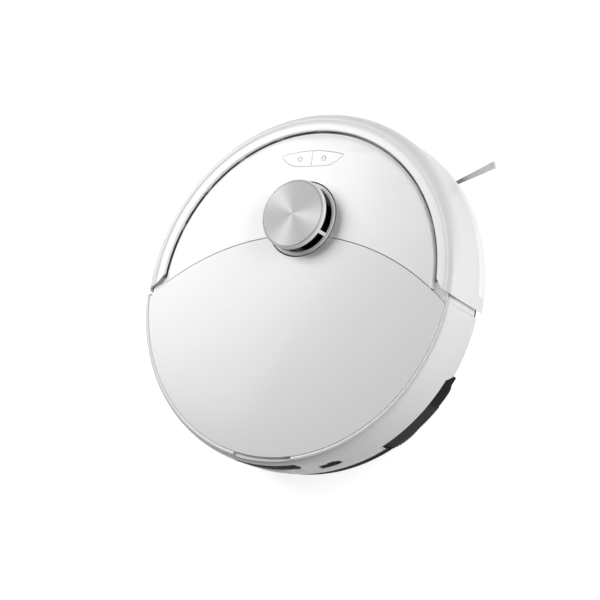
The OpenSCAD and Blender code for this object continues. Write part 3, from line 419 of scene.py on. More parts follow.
@dataclass(frozen=True)
class Cloth:
    """Looped microfibre: crossed ribs with a soft nap.

    Attributes: name: the finish. colour: its colour. pitch: distance between ribs in millimetres.
        depth: their depth in millimetres.
    """

    name: str
    colour: Colour
    pitch: float
    depth: float

    def paint(self) -> bpy.types.Material:
        """Makes the material.

        Returns: the material.
        """
        p = Paint(self.name)
        x, y, z = p.parts()
        turn = 2 * math.pi / self.pitch
        crossed = (x * turn).math("SINE") * (y * turn).math("SINE")
        weave = crossed * (z * turn).math("COSINE") * 0.5 + 0.5
        nap = p.noise(1400.0, 5.0, 0.7)
        tone = weave * 0.55 + nap * 0.45
        return p.finish(
            Base_Color=p.blend(tone, scaled(self.colour, 0.45), scaled(self.colour, 1.6)),
            Roughness=0.95,
            Sheen_Weight=0.35,
            Sheen_Roughness=0.5,
            Normal=p.bump(nap, self.depth * 0.5, p.bump(weave, self.depth)),
        )


@dataclass(frozen=True)
class Board:
    """Circuit board: solder mask over tracks, with bright pads.

    Attributes: name: the finish. colour: the mask's colour.
    """

    name: str
    colour: Colour

    def paint(self) -> bpy.types.Material:
        """Makes the material.

        Returns: the material.
        """
        p = Paint(self.name)
        cells = p.node("ShaderNodeTexVoronoi", {"distance": "MANHATTAN"},
                       {"Vector": p.place(), "Scale": 260.0})
        track = cells.within(0.30, 0.36, 0.03)
        pad = 1 - cells.rise(0.07, 0.03)
        colour = p.blend(track, self.colour, scaled(self.colour, 2.4))
        return p.finish(
            Base_Color=p.blend(pad, colour, GILT),
            Metallic=pad,
            Roughness=0.45 - pad * 0.15,
            Normal=p.bump(track, 0.03),
        )


@dataclass(frozen=True)
class Smoked:
    """Clear plastic with a dark tint, and faint scratches from handling.

    Attributes: name: the finish. colour: its tint. alpha: how solid it looks.
    """

    name: str
    colour: Colour
    alpha: float

    def paint(self) -> bpy.types.Material:
        """Makes the material.

        Returns: the material.
        """
        p = Paint(self.name)
        scratch = p.noise(500.0, 4.0, 0.7, (1, 9, 1)).rise(0.63, 0.08)
        haze = p.noise(30.0, 3.0)
        return p.finish(
            Base_Color=p.blend(scratch * 0.4, self.colour, (0.5, 0.5, 0.5)),
            Roughness=haze * 0.10 + scratch * 0.15 + 0.04,
            Alpha=haze * 0.08 + self.alpha,
            Normal=p.bump(scratch, 0.01),
        )


@dataclass(frozen=True)
class Nylon:
    """Bundled bristles, paler towards their tips.

    Attributes: name: the finish. root, tip: the two colours. centre: the hub's X and Y in
        millimetres. reach: the tips' radius.
    """

    name: str
    root: Colour
    tip: Colour
    centre: tuple[float, float]
    reach: float

    def paint(self) -> bpy.types.Material:
        """Makes the material.

        Returns: the material.
        """
        p = Paint(self.name)
        radius, angle = p.polar(self.centre)
        strand = p.streaks(angle, 180.0, 2.0)
        share = radius.rise(self.reach * 0.62, self.reach * 0.7) + (strand - 0.5) * 0.5
        return p.finish(
            Base_Color=p.blend(share, self.root, self.tip),
            Roughness=0.5,
            Normal=p.bump(strand, 0.05),
        )


WHITE_SHELL = Moulded("white_shell", (0.80, 0.80, 0.81), 0.36, coat=0.15, grain=0.004)
WHITE_PANEL = Moulded("white_panel", (0.89, 0.89, 0.895), 0.34, coat=0.2, grain=0.004)
# The bumper's white, lighter on its top band as painted light and darker on its wall as painted shade.
WHITE_BUMPER = ShadeBanded("white_bumper", (0.97, 0.97, 0.975), (0.77, 0.77, 0.785), 161.5, 3.0)
# The rear wall's white, darker than the lid's white: painted shade.
WHITE_REAR_SHADED = Moulded("white_rear_shaded", (0.74, 0.74, 0.75), 0.36, coat=0.15, grain=0.004)
WHITE_STRIP = Moulded("white_strip", (0.93, 0.93, 0.935), 0.45, grain=0.006)
ICON_GREY = Moulded("icon_grey", (0.30, 0.30, 0.31), 0.5, grain=0.002)
BLACK_BASE = Moulded("black_base", (0.009, 0.009, 0.010), 0.62, grain=0.03, cell=1800, dust=0.08,
                     shine=0.08)
WINDOW_BLACK = Moulded("window_black", (0.007, 0.007, 0.008), 0.5, shine=0.02, grain=0.002)
DARK_WINDOW = Moulded("dark_window", (0.006, 0.006, 0.008), 0.3, grain=0.002, shine=0.12)
FRAME_GREY = Moulded("frame_grey", (0.42, 0.42, 0.43), 0.55, grain=0.02, dust=0.1)
DARK_PLASTIC = Moulded("dark_plastic", (0.035, 0.035, 0.038), 0.5, grain=0.02, dust=0.05)
LIGHT_PLASTIC = Moulded("light_plastic", (0.42, 0.42, 0.43), 0.45, grain=0.01, dust=0.05)
CELL_BLUE = Moulded("cell_blue", (0.03, 0.09, 0.28), 0.35, coat=0.3, grain=0.01)
LATCH_ORANGE = Moulded("latch_orange", (0.62, 0.14, 0.03), 0.42, grain=0.01)
FILTER_WHITE = Moulded("filter_white", (0.72, 0.72, 0.69), 0.9, grain=0.12, cell=1500, dust=0.3)
BRUSHED_DISC = Turned("brushed_disc", (0.66, 0.66, 0.665), (0, 63.5),
                      ((138, 1.0), (252, 0.95), (352, 1.0)))
CONTACT_METAL = Metal("contact_metal", (0.80, 0.72, 0.52), 0.3, (12, 1, 1))
STEEL = Metal("steel", (0.60, 0.61, 0.63), 0.32)
MOTOR_METAL = Metal("motor_metal", (0.52, 0.53, 0.55), 0.36)
TYRE_RUBBER = Rubber("tyre_rubber", (0.022, 0.022, 0.023), 0.72, 0.3)
BELT_RUBBER = Rubber("belt_rubber", (0.015, 0.015, 0.015), 0.6, 0.05)
FRINGE_GREY = Rubber("fringe_grey", (0.018, 0.018, 0.020), 0.85, 0.05)
BRUSH_RUBBER = Rubber("brush_rubber", (0.05, 0.05, 0.055), 0.62, 0.15)
PAD_FABRIC = Cloth("pad_fabric", (0.045, 0.045, 0.048), 1.6, 0.35)
BOARD_GREEN = Board("board_green", (0.012, 0.085, 0.04))
SMOKE_PLASTIC = Smoked("smoke_plastic", (0.05, 0.055, 0.06), 0.72)
BRISTLE_GREY = Nylon("bristle_grey", (0.86, 0.86, 0.87), (0.76, 0.76, 0.77), (94, 111), 72)


# -------------------------------------------------------------- mesh tools


_made: dict[str, bpy.types.Material] = {}


def material(finish: Any) -> bpy.types.Material:
    """Makes a finish's material once.

    Args: finish: the finish.
    Returns: its material.
    """
    if finish.name not in _made:
        _made[finish.name] = finish.paint()
    return _made[finish.name]


def cosd(t: float) -> float:
    """The cosine of an angle in degrees."""
    return math.cos(math.radians(t))


def sind(t: float) -> float:
    """The sine of an angle in degrees."""
    return math.sin(math.radians(t))


def bearing(x: float, y: float, cy: float = 0.0) -> float:
    """The angle of a point about a centre on the middle line, in degrees."""
    return math.degrees(math.atan2(y - cy, x))


def arc(cx: float, cy: float, r: float, a0: float, a1: float, n: int) -> Outline:
    """The n + 1 points on a circle's arc between two angles in degrees."""
    return [(cx + r * cosd(a0 + (a1 - a0) * i / n), cy + r * sind(a0 + (a1 - a0) * i / n))
            for i in range(n + 1)]


def oval(cx: float, cy: float, a: float, b: float, a0: float, a1: float, n: int) -> Outline:
    """The n points on an oval, a wide and b high from its centre, between two angles in degrees."""
    return [(cx + a * cosd(t), cy + b * sind(t)) for t in np.linspace(a0, a1, n)]


def mirrored(points: Outline) -> Outline:
    """The same outline, mirrored in X and turned to run the same way round."""
    return [(-x, y) for x, y in reversed(points)]


def between(first: float, last: float) -> Ends:
    """Ends at the same two angles, in degrees, at every radius."""
    return lambda _: (first, last)


def facing(angle: float) -> Matrix:
    """Stands a flat outline up to face outwards, turned by an angle from the rear or front."""
    return Matrix.Rotation(math.radians(angle), 4, "Z") @ Matrix.Rotation(math.radians(90), 4, "X")


def linked(name: str, data: Any) -> bpy.types.Object:
    """Makes an object in the scene.

    Args: name: its name. data: its mesh, curve, lamp or camera.
    Returns: the object.
    """
    made = bpy.data.objects.new(name, data)
    bpy.context.scene.collection.objects.link(made)
    return made


def moved(made: bpy.types.Object, x: float, y: float, z: float) -> bpy.types.Object:
    """Moves a mesh in its own data, in millimetres, and gives back the same object."""
    made.data.transform(Matrix.Translation((x * MM, y * MM, z * MM)))
    return made


def put(name: str, verts: Iterable[Sequence[float]], faces: Iterable[Sequence[int]]) -> bpy.types.Object:
    """Makes a mesh object from points in millimetres.

    Args: name: the piece. verts, faces: its mesh.
    Returns: the object.
    """
    mesh = bpy.data.meshes.new(name)
    mesh.from_pydata([tuple(c * MM for c in v) for v in verts], [], [tuple(f) for f in faces])
    mesh.validate()
    return linked(name, mesh)


def box(name: str, xs: Sequence[float], ys: Sequence[float], zs: Sequence[float]) -> bpy.types.Object:
    """A plain block between its limits on the three axes, in millimetres."""
    return put(name, [(x, y, z) for x in xs for y in ys for z in zs],
               [(0, 1, 3, 2), (4, 6, 7, 5), (0, 4, 5, 1), (2, 3, 7, 6), (0, 2, 6, 4), (1, 5, 7, 3)])


def skin(rows: int, n: int, closed: bool) -> list[list[int]]:
    """Faces that join rows of points into a skin.

    Args: rows: how many rows. n: points in each. closed: the last row joins the first; if
        not, each end gets a face.
    Returns: the faces.
    """
    steps = rows if closed else rows - 1
    faces = [[k * n + i, k * n + (i + 1) % n, (k + 1) % rows * n + (i + 1) % n, (k + 1) % rows * n + i]
             for k in range(steps) for i in range(n)]
    if not closed:
        faces += [list(range(n)), [steps * n + i for i in range(n - 1, -1, -1)]]
    return faces


def baked(made: bpy.types.Object) -> bpy.types.Object:
    """Applies an object's modifiers, or turns a curve into a mesh.

    Args: made: the object, which is replaced.
    Returns: a plain mesh object of the same name.
    """
    bpy.context.view_layer.update()
    name = made.name
    mesh = bpy.data.meshes.new_from_object(made.evaluated_get(bpy.context.evaluated_depsgraph_get()))
    bpy.data.objects.remove(made)
    mesh.name = name
    return linked(name, mesh)


def cleaned(made: bpy.types.Object) -> bpy.types.Object:
    """Merges doubled points and turns faces outward.

    Args: made: a mesh object.
    Returns: the same object.
    """
    gap = 0.002 * MM
    bm = bmesh.new()
    bm.from_mesh(made.data)
    bmesh.ops.remove_doubles(bm, verts=bm.verts, dist=gap)
    bmesh.ops.dissolve_degenerate(bm, dist=gap / 2, edges=bm.edges)
    bmesh.ops.recalc_face_normals(bm, faces=bm.faces)
    bm.to_mesh(made.data)
    bm.free()
    return made


def softened(made: bpy.types.Object, width: float, angle: float = 38.0, steps: int = 3) -> bpy.types.Object:
    """Rounds a mesh's sharp edges and evens its shading.

    Args: made: a mesh object. width: edge radius in millimetres. angle: what counts as sharp.
        steps: segments of the rounding.
    Returns: a plain mesh object.
    """
    if width > 0:
        bevel = made.modifiers.new("edge", "BEVEL")
        bevel.width = width * MM
        bevel.segments = steps
        bevel.limit_method = "ANGLE"
        bevel.angle_limit = math.radians(angle)
        bevel.use_clamp_overlap = True
        bevel.miter_outer = "MITER_ARC"
    made.data.polygons.foreach_set("use_smooth", [True] * len(made.data.polygons))
    even = made.modifiers.new("shade", "WEIGHTED_NORMAL")
    even.weight = 100
    return baked(made)


def joined(name: str, pieces: Sequence[bpy.types.Object]) -> bpy.types.Object:
    """Joins mesh objects that have one material into one.

    Args: name: the result. pieces: the objects, which are used up.
    Returns: the object.
    """
    bm = bmesh.new()
    for piece in pieces:
        bm.from_mesh(piece.data)
        bpy.data.objects.remove(piece)
    mesh = bpy.data.meshes.new(name)
    bm.to_mesh(mesh)
    bm.free()
    return linked(name, mesh)


def cut(made: bpy.types.Object, *cutters: bpy.types.Object) -> bpy.types.Object:
    """Cuts solids out of a mesh.

    Args: made: the mesh object. cutters: closed meshes, which are used up.
    Returns: a plain mesh object.
    """
    for i, cutter in enumerate(cutters):
        step = made.modifiers.new(f"cut{i}", "BOOLEAN")
        step.operation = "DIFFERENCE"
        step.solver = "EXACT"
        step.object = cutter
    out = baked(made)
    for cutter in cutters:
        bpy.data.objects.remove(cutter)
    return out


def lined(name: str, outlines: Sequence[Sequence[Sequence[float]]], flat: bool) -> bpy.types.Object:
    """Makes a curve object of straight lines.

    Args: name: the piece. outlines: the points of each line, in millimetres. flat: the lines
        are closed and filled, in one plane.
    Returns: the object.
    """
    curve = bpy.data.curves.new(name, "CURVE")
    curve.dimensions = "2D" if flat else "3D"
    if flat:
        curve.fill_mode = "BOTH"
    for outline in outlines:
        spline = curve.splines.new("POLY")
        spline.points.add(len(outline) - 1)
        spline.points.foreach_set("co", [c for p in outline for c in (*(v * MM for v in p), 1.0)])
        spline.use_cyclic_u = flat
    return linked(name, curve)


def plate(name: str, outlines: Sequence[Outline], low: float, high: float,
          edge: float = 0.3) -> bpy.types.Object:
    """A flat plate with rounded edges; inner outlines are holes.

    Args: name: the piece. outlines: closed outlines in millimetres. low, high: its levels.
        edge: edge radius.
    Returns: a plain mesh object.
    """
    made = lined(name, [[(x, y, 0.0) for x, y in outline] for outline in outlines], True)
    made.data.extrude = (high - low) / 2 * MM - edge * MM
    made.data.bevel_depth = edge * MM
    made.data.bevel_resolution = 2
    made.data.offset = -edge * MM
    made = baked(made)
    made.data.transform(Matrix.Translation((0, 0, (low + high) / 2 * MM)))
    return softened(cleaned(made), 0)


def tube(name: str, path: Sequence[Sequence[float]], radius: float, sides: int) -> bpy.types.Object:
    """A round wire or rod along a path.

    Args: name: the piece. path: points in millimetres. radius: its radius. sides: its fineness.
    Returns: a plain mesh object.
    """
    made = lined(name, [path], False)
    made.data.bevel_depth = radius * MM
    made.data.bevel_resolution = sides
    made.data.use_fill_caps = True
    made = cleaned(baked(made))
    made.data.polygons.foreach_set("use_smooth", [True] * len(made.data.polygons))
    return made


def prism(outline: Outline, low: float, high: float, turn: Matrix | None = None) -> bpy.types.Object:
    """A straight prism.

    Args: outline: its plan. low, high: its levels. turn: how it is placed afterwards.
    Returns: the object.
    """
    n = len(outline)
    verts = [(x, y, low) for x, y in outline] + [(x, y, high) for x, y in outline]
    faces = [[(i + 1) % n, i, i + n, (i + 1) % n + n] for i in range(n)]
    made = put("cutter", verts, [*faces, list(range(n)), list(range(2 * n - 1, n - 1, -1))])
    if turn is not None:
        made.data.transform(turn)
    return cleaned(made)


def turned(name: str, profile: Outline, centre: tuple[float, float] = (0, 0),
           steps: int = 192) -> bpy.types.Object:
    """A full turning of a closed profile.

    Args: name: the piece. profile: (radius, height) points, closed. centre: its axis.
        steps: segments round it.
    Returns: the object.
    """
    verts = []
    for k in range(steps):
        a = 2 * math.pi * k / steps
        verts += [(centre[0] + r * math.cos(a), centre[1] + r * math.sin(a), z) for r, z in profile]
    return cleaned(put(name, verts, skin(steps, len(profile), True)))


def swept(name: str, profile: Outline, ends: Ends, steps: int) -> bpy.types.Object:
    """A part turning of a closed profile whose ends may lie on any line.

    Args: name: the piece. profile: (radius, height) points, closed. ends: gives the first and
        last angle, in degrees, at a radius. steps: segments along it.
    Returns: the object, closed at both ends.
    """
    verts = []
    for k in range(steps + 1):
        for r, z in profile:
            a0, a1 = ends(r)
            a = math.radians(a0 + (a1 - a0) * k / steps)
            verts.append((r * math.cos(a), r * math.sin(a), z))
    return cleaned(put(name, verts, skin(steps + 1, len(profile), False)))


class Grower:
    """A geometry node tree that repeats a shape, and what turns it into a plain mesh."""

    def __init__(self, name: str) -> None:
        """Args: name: the tree's name."""
        self.tree = bpy.data.node_groups.new(name, "GeometryNodeTree")
        face = self.tree.interface
        face.new_socket(name="Seed", in_out="INPUT", socket_type="NodeSocketGeometry")
        face.new_socket(name="Result", in_out="OUTPUT", socket_type="NodeSocketGeometry")
        self.source = self.tree.nodes.new("NodeGroupInput")
        self.keys: dict[str, str] = {}

    def size(self, name: str, kind: str = "Float") -> bpy.types.NodeSocket:
        """Adds a named input.

        Args: name: its name. kind: Float, Int, Vector or Material.
        Returns: its socket inside the tree.
        """
        made = self.tree.interface.new_socket(name=name, in_out="INPUT", socket_type=f"NodeSocket{kind}")
        self.keys[name] = made.identifier
        return self.source.outputs[name]

    def node(self, kind: str, settings: dict[str, Any] | None = None, inputs: dict[Any, Any] | None = None,
             output: Any = 0) -> bpy.types.NodeSocket:
        """Adds a node of one kind with its settings and inputs, and gives one of its outputs."""
        return add_node(self.tree, kind, settings, inputs).outputs[output]

    def math(self, kind: str, *values: Any) -> bpy.types.NodeSocket:
        """The result of one sum on its terms."""
        return self.node("ShaderNodeMath", {"operation": kind}, dict(enumerate(values)))

    def chance(self, low: float, high: float, seed: int) -> bpy.types.NodeSocket:
        """A random value between two limits, with a fixed seed."""
        return self.node("FunctionNodeRandomValue", {"data_type": "FLOAT"}, {2: low, 3: high, 8: seed}, 1)

    def instance(self, points: bpy.types.NodeSocket, **inputs: Any) -> None:
        """Ends the tree with the seed on every point, made real and given a material.

        Args: points: where. inputs: Rotation and Scale of each copy.
        """
        shape = self.node("GeometryNodeInstanceOnPoints", {},
                          {"Points": points, "Instance": self.source.outputs[0], **inputs})
        coat = self.size("Material", "Material")
        real = self.node("GeometryNodeRealizeInstances", {}, {0: shape})
        done = self.node("GeometryNodeSetMaterial", {}, {"Geometry": real, "Material": coat})
        add_node(self.tree, "NodeGroupOutput", {}, {0: done})

    def grow(self, seed: bpy.types.Object, finish: Any, **sizes: Any) -> bpy.types.Object:
        """Runs the tree on a seed mesh.

        Args: seed: the mesh that is repeated, which is used up. finish: its finish. sizes:
            values of the named inputs.
        Returns: a plain mesh object.
        """
        step = seed.modifiers.new("grow", "NODES")
        step.node_group = self.tree
        for key, value in {**sizes, "Material": material(finish)}.items():
            step[self.keys[key]] = value
        return baked(seed)


def ring_tree() -> Grower:
    """Repeats a shape round an upright axis.

    Returns: the tree, with inputs Count, Turn, First and Centre.
    """
    g = Grower("round_an_axis")
    count, turn, first = g.size("Count", "Int"), g.size("Turn", "Vector"), g.size("First", "Vector")
    points = g.node("GeometryNodePoints", {}, {"Count": count, "Position": g.size("Centre", "Vector")})
    share = g.math("DIVIDE", g.node("GeometryNodeInputIndex"), count)
    angle = g.node("ShaderNodeVectorMath", {"operation": "MULTIPLY_ADD"}, {0: turn, 1: share, 2: first})
    g.instance(points, Rotation=angle)
    return g


def tuft_tree() -> Grower:
    """Fans thin bristles out from a root along X.

    Returns: the tree, with inputs Count, Length, Spread, Drop, Root and Width.
    """
    g = Grower("bristle_tuft")
    count, length, spread = g.size("Count", "Int"), g.size("Length"), g.size("Spread")
    drop, root, width = g.size("Drop"), g.size("Root"), g.size("Width")
    points = g.node("GeometryNodePoints", {}, {"Count": count, "Position": (0.0, 0.0, 0.0)})
    side = g.chance(-1.0, 1.0, 11)
    place = g.node("ShaderNodeCombineXYZ", {}, {"X": root, "Y": g.math("MULTIPLY", side, width),
                                                "Z": g.chance(-0.0006, 0.0006, 23)})
    spot = g.node("GeometryNodeSetPosition", {}, {"Geometry": points, "Position": place})
    angle = g.node("ShaderNodeCombineXYZ", {}, {"Y": g.math("ADD", drop, g.chance(-0.012, 0.012, 37)),
                                                "Z": g.math("MULTIPLY", side, spread)})
    size = g.node("ShaderNodeCombineXYZ", {}, {"X": g.math("MULTIPLY", length, g.chance(0.93, 1.0, 41)),
                                               "Y": 1.0, "Z": 1.0})
    g.instance(spot, Rotation=angle, Scale=size)
    return g


RINGS = ring_tree()


def ringed(seed: bpy.types.Object, finish: Any, count: int, first: float, turn: float = 360.0,
           centre: tuple[float, float] = (0.0, 0.0)) -> bpy.types.Object:
    """Repeats a shape round an upright line, over an angle turn from the angle first, in degrees."""
    return RINGS.grow(seed, finish, Count=count, Turn=(0.0, 0.0, math.radians(turn)),
                      First=(0.0, 0.0, math.radians(first)), Centre=(centre[0] * MM, centre[1] * MM, 0.0))


class Piece:
    """What every sub-assembly does with a finished mesh."""

    body: str = "chassis"

    def fit(self, made: bpy.types.Object, finish: Any, *replaced: str,
            body: str | None = None) -> bpy.types.Object:
        """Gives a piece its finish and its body.

        Args: made: the mesh object. finish: its finish. replaced: CAD nodes it stands for.
            body: the body it rides on, if not this sub-assembly's own.
        Returns: the object.
        """
        made.data.materials.clear()
        made.data.materials.append(material(finish))
        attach(made, body or self.body)
        if replaced:
            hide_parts(*replaced)
        log.info("%-22s %6d faces", made.name, len(made.data.polygons))
        return made

    def dress(self, finish: Any, *nodes: str) -> None:
        """Gives CAD nodes a finish. Args: finish: the finish. nodes: their names."""
        for node in nodes:
            NODES[node].data.materials.clear()
            NODES[node].data.materials.append(material(finish))


# ---------------------------------------------------------- sub-assemblies


class Side(Enum):
    """The machine's two sides, by the sign of X."""

    LEFT = -1
    RIGHT = 1

    def ends(self, first: float, last: float) -> tuple[float, float]:
        """Two end angles of the right side, in degrees, or their mirror images."""
        return (first, last) if self is Side.RIGHT else (180 - last, 180 - first)


@dataclass
class Levels:
    """Sizes that several sub-assemblies share, in millimetres.

    Attributes: top: the flat top. cover: thickness of the covers. deck: top of the frame deck.
        skirt: lower edge of the bumper. body: radius of the body. lip, panel, lid: radii of the
        covers' edges. seam: gap between panel and lid. arc_y, arc_r: circle of the lid's front
        edge. turret_y: the turret's Y. hole: radius of its opening.
    """

    top: float = 79.5
    cover: float = 2.5
    deck: float = 72.0
    skirt: float = 18.4
    body: float = 175.0
    lip: float = 153.6
    panel: float = 149.1
    lid: float = 167.0
    seam: float = 0.6
    arc_y: float = -200.0
    arc_r: float = 247.0
    turret_y: float = 63.5
    hole: float = 38.0

    def arc_meets(self, r: float, cy: float, grow: float) -> tuple[float, float]:
        """Where the lid's front edge crosses a circle on the middle line.

        Args: r, cy: the circle's radius and its centre's Y. grow: how far the edge is moved out.
        Returns: the right-hand crossing.
        """
        edge = self.arc_r + grow
        y = (edge**2 - r**2 - self.arc_y**2 + cy**2) / (2 * (cy - self.arc_y))
        return math.sqrt(r**2 - (y - cy) ** 2), y

    def front_edge(self, grow: float, outer: float) -> Outline:
        """The lid's front edge from right to left, round the turret's opening.

        Args: grow: how far the edge is moved out. outer: radius at which it ends.
        Returns: its points.
        """
        first = bearing(*self.arc_meets(outer, 0, grow), self.arc_y)
        meets = self.arc_meets(self.hole, self.turret_y, grow)
        right = arc(0, self.arc_y, self.arc_r + grow, first, bearing(*meets, self.arc_y), 60)
        low = bearing(*meets, self.turret_y)
        last, steps = (180 - low, 90) if grow > 0 else (-180 - low, 60)
        hole = arc(0, self.turret_y, self.hole, low, last, steps)
        return right + hole[1:-1] + mirrored(right)


L = Levels()


@dataclass
class TopPanel(Piece):
    """The flat front panel round the turret, with its skirt.

    Attributes: front_r, low_y, half, flat: outline of the button pair. gap: play round it.
        border, fall: width and drop of its bevelled rim. ledge: height of the groove's floor
        round it. stem: X and Y of the right button's stem. icon: X and Y of its icon.
        line: half width of an icon's line.
    """

    front_r: float = 132.5
    low_y: float = 117.0
    half: float = 35.0
    flat: float = 14.0
    gap: float = 0.22
    border: float = 3.2
    fall: float = 0.9
    ledge: float = 76.4
    stem: tuple[float, float] = (13.0, 124.0)
    icon: tuple[float, float] = (13.5, 124.6)
    line: float = 0.28

    def lens(self, grow: float, start: float) -> Outline:
        """The right half of the button pair's outline.

        Args: grow: how far it is grown. start: X at which it starts.
        Returns: its points, anticlockwise from the middle of its lower edge.
        """
        tip_y = math.sqrt(self.front_r**2 - self.half**2)
        rise = tip_y - self.low_y
        corner = ((self.half - self.flat) ** 2 + rise**2) / (2 * rise)
        end = math.degrees(math.asin((self.half - self.flat) / corner))
        tip = math.degrees(math.asin(self.half / self.front_r))
        r = self.front_r + grow
        return ([(start, self.low_y - grow)]
                + arc(self.flat, self.low_y + corner, corner + grow, -90, end - 90, 16)
                + arc(0, 0, r, 90.4 - tip, 90 - math.degrees(math.asin(start / r)), 24))

    def build(self) -> None:
        """Makes the panel and its two buttons."""
        edge, r, low = L.front_edge(L.seam, L.panel), L.panel, L.top - 1.4
        a = bearing(*edge[0])
        rim = arc(0, 0, r, a, 180 - a, 240)
        hole = self.lens(self.gap, 0)
        outlines = [rim[:-1] + edge[::-1][:-1], hole + mirrored(hole)[1:-1]]
        top = plate("front_panel", outlines, L.top - L.cover, L.top, 0.4)
        border = turned("border", [
            (r - self.border, L.top), (r + 2, L.top - self.fall - self.fall * 2 / self.border),
            (r + 2, L.top + 2), (r - self.border, L.top + 2)], steps=360)
        top = softened(cut(top, border), 0)
        skirt = swept("panel_skirt", [
            (r + 2.3, L.deck), (r + 2.3, self.ledge), (r + 1.2, self.ledge + 0.5), (r, self.ledge + 1.2),
            (r, low), (r - 2.5, low), (r - 2.5, L.deck)], between(a, 180 - a), 180)
        self.fit(joined("front_panel", [top, softened(skirt, 0.2)]), WHITE_PANEL, "top_panel")
        for side, name, icon in ((Side.LEFT, "power", self.power_icon), (Side.RIGHT, "home", self.home_icon)):
            self.button(side, name, icon)

    def button(self, side: Side, name: str, icon: Callable[[float, float], bpy.types.Object]) -> None:
        """Makes one button with its icon.

        Args: side: which one. name: what it is called. icon: makes its icon.
        """
        half = self.lens(0, self.gap / 2)
        outline = half if side is Side.RIGHT else mirrored(half)
        cap = plate(f"{name}_button_cap", [outline], L.top - 2.2, L.top - 0.05, 0.35)
        stem = softened(turned("stem", [(0.01, 0), (2.4, 0), (2.4, 4.2), (0.01, 4.2)]), 0.2)
        moved(stem, side.value * self.stem[0], self.stem[1], L.top - 6.2)
        cap = joined(f"{name}_button_cap", [cap, stem])
        self.fit(cap, WHITE_PANEL, f"{name}_button", body=f"{name}_key")
        self.fit(icon(side.value * self.icon[0], self.icon[1]), ICON_GREY, body=f"{name}_key")

    def drawn(self, name: str, x: float, y: float, *lines: tuple[str, Outline]) -> bpy.types.Object:
        """Draws an icon about its centre in thin lines that stand out of the key."""
        return joined(name, [tube(part, [(x + dx, y + dy, L.top - 0.03) for dx, dy in line], self.line, 1)
                             for part, line in lines])

    def power_icon(self, x: float, y: float) -> bpy.types.Object:
        """A broken ring with a stroke, about its centre."""
        return self.drawn("power_icon", x, y, ("ring", arc(0, 0, 2.3, 125, 415, 28)),
                          ("stroke", [(0, 0.4), (0, 2.9)]))

    def home_icon(self, x: float, y: float) -> bpy.types.Object:
        """A small house, about its centre."""
        return self.drawn("home_icon", x, y, ("roof", [(-2.7, 0.3), (0, 2.7), (2.7, 0.3)]),
                          ("wall", [(-1.9, 0.6), (-1.9, -2.2), (1.9, -2.2), (1.9, 0.6)]))


@dataclass
class Lid(Piece):
    """The lift-off lid over the dust bin.

    Attributes: bosses: X and Y of its magnet bosses. bore, boss: their two radii. rib: inner and
        outer radius of the rib under it. drop: how far the rib hangs.
    """

    body: str = "lid_unit"
    bosses: tuple[tuple[float, float], ...] = ((118, -18), (92, -112), (-118, -18), (-92, -112))
    bore: float = 1.5
    boss: float = 5.0
    rib: tuple[float, float] = (152.0, 154.5)
    drop: float = 5.5

    def build(self) -> None:
        """Makes the lid, its bosses and its underside ribs."""
        edge = L.front_edge(0, L.lid)
        a = bearing(*edge[0])
        rim = arc(0, 0, L.lid, 180 - a, 360 + a, 300)
        parts = [plate("lid_cover", [rim[:-1] + edge[:-1]], L.top - L.cover, L.top)]
        (r0, r1), low, high = self.rib, L.top - self.drop, L.top - 2
        rib = swept("rib", [(r0, low), (r1, low), (r1, high), (r0, high)], between(194, 346), 120)
        parts.append(softened(rib, 0.3))
        foot = L.deck + 0.6
        tube_wall = [(self.bore, foot), (self.boss, foot), (self.boss, high), (self.bore, high)]
        for centre in self.bosses:
            parts.append(softened(turned("boss", tube_wall, centre, 32), 0.4))
        self.fit(joined("lid_cover", parts), WHITE_SHELL, "lid")


def line_end(slope: float, level: float, r: float) -> float:
    """The angle, in degrees, at which a circle about the middle meets y = level - slope x."""
    return math.degrees(math.asin(level / (r * math.hypot(1, slope))) - math.atan(slope))


# The sloping ends of the bumper and of the rear shell, each as a slope and a level.
BUMPER_LINE = (0.553, 1.5 + 0.553 * 153.3)
SHELL_LINE = (0.34, 1.5 - 0.553 * 21.7 - 5.8 + 0.34 * 175)


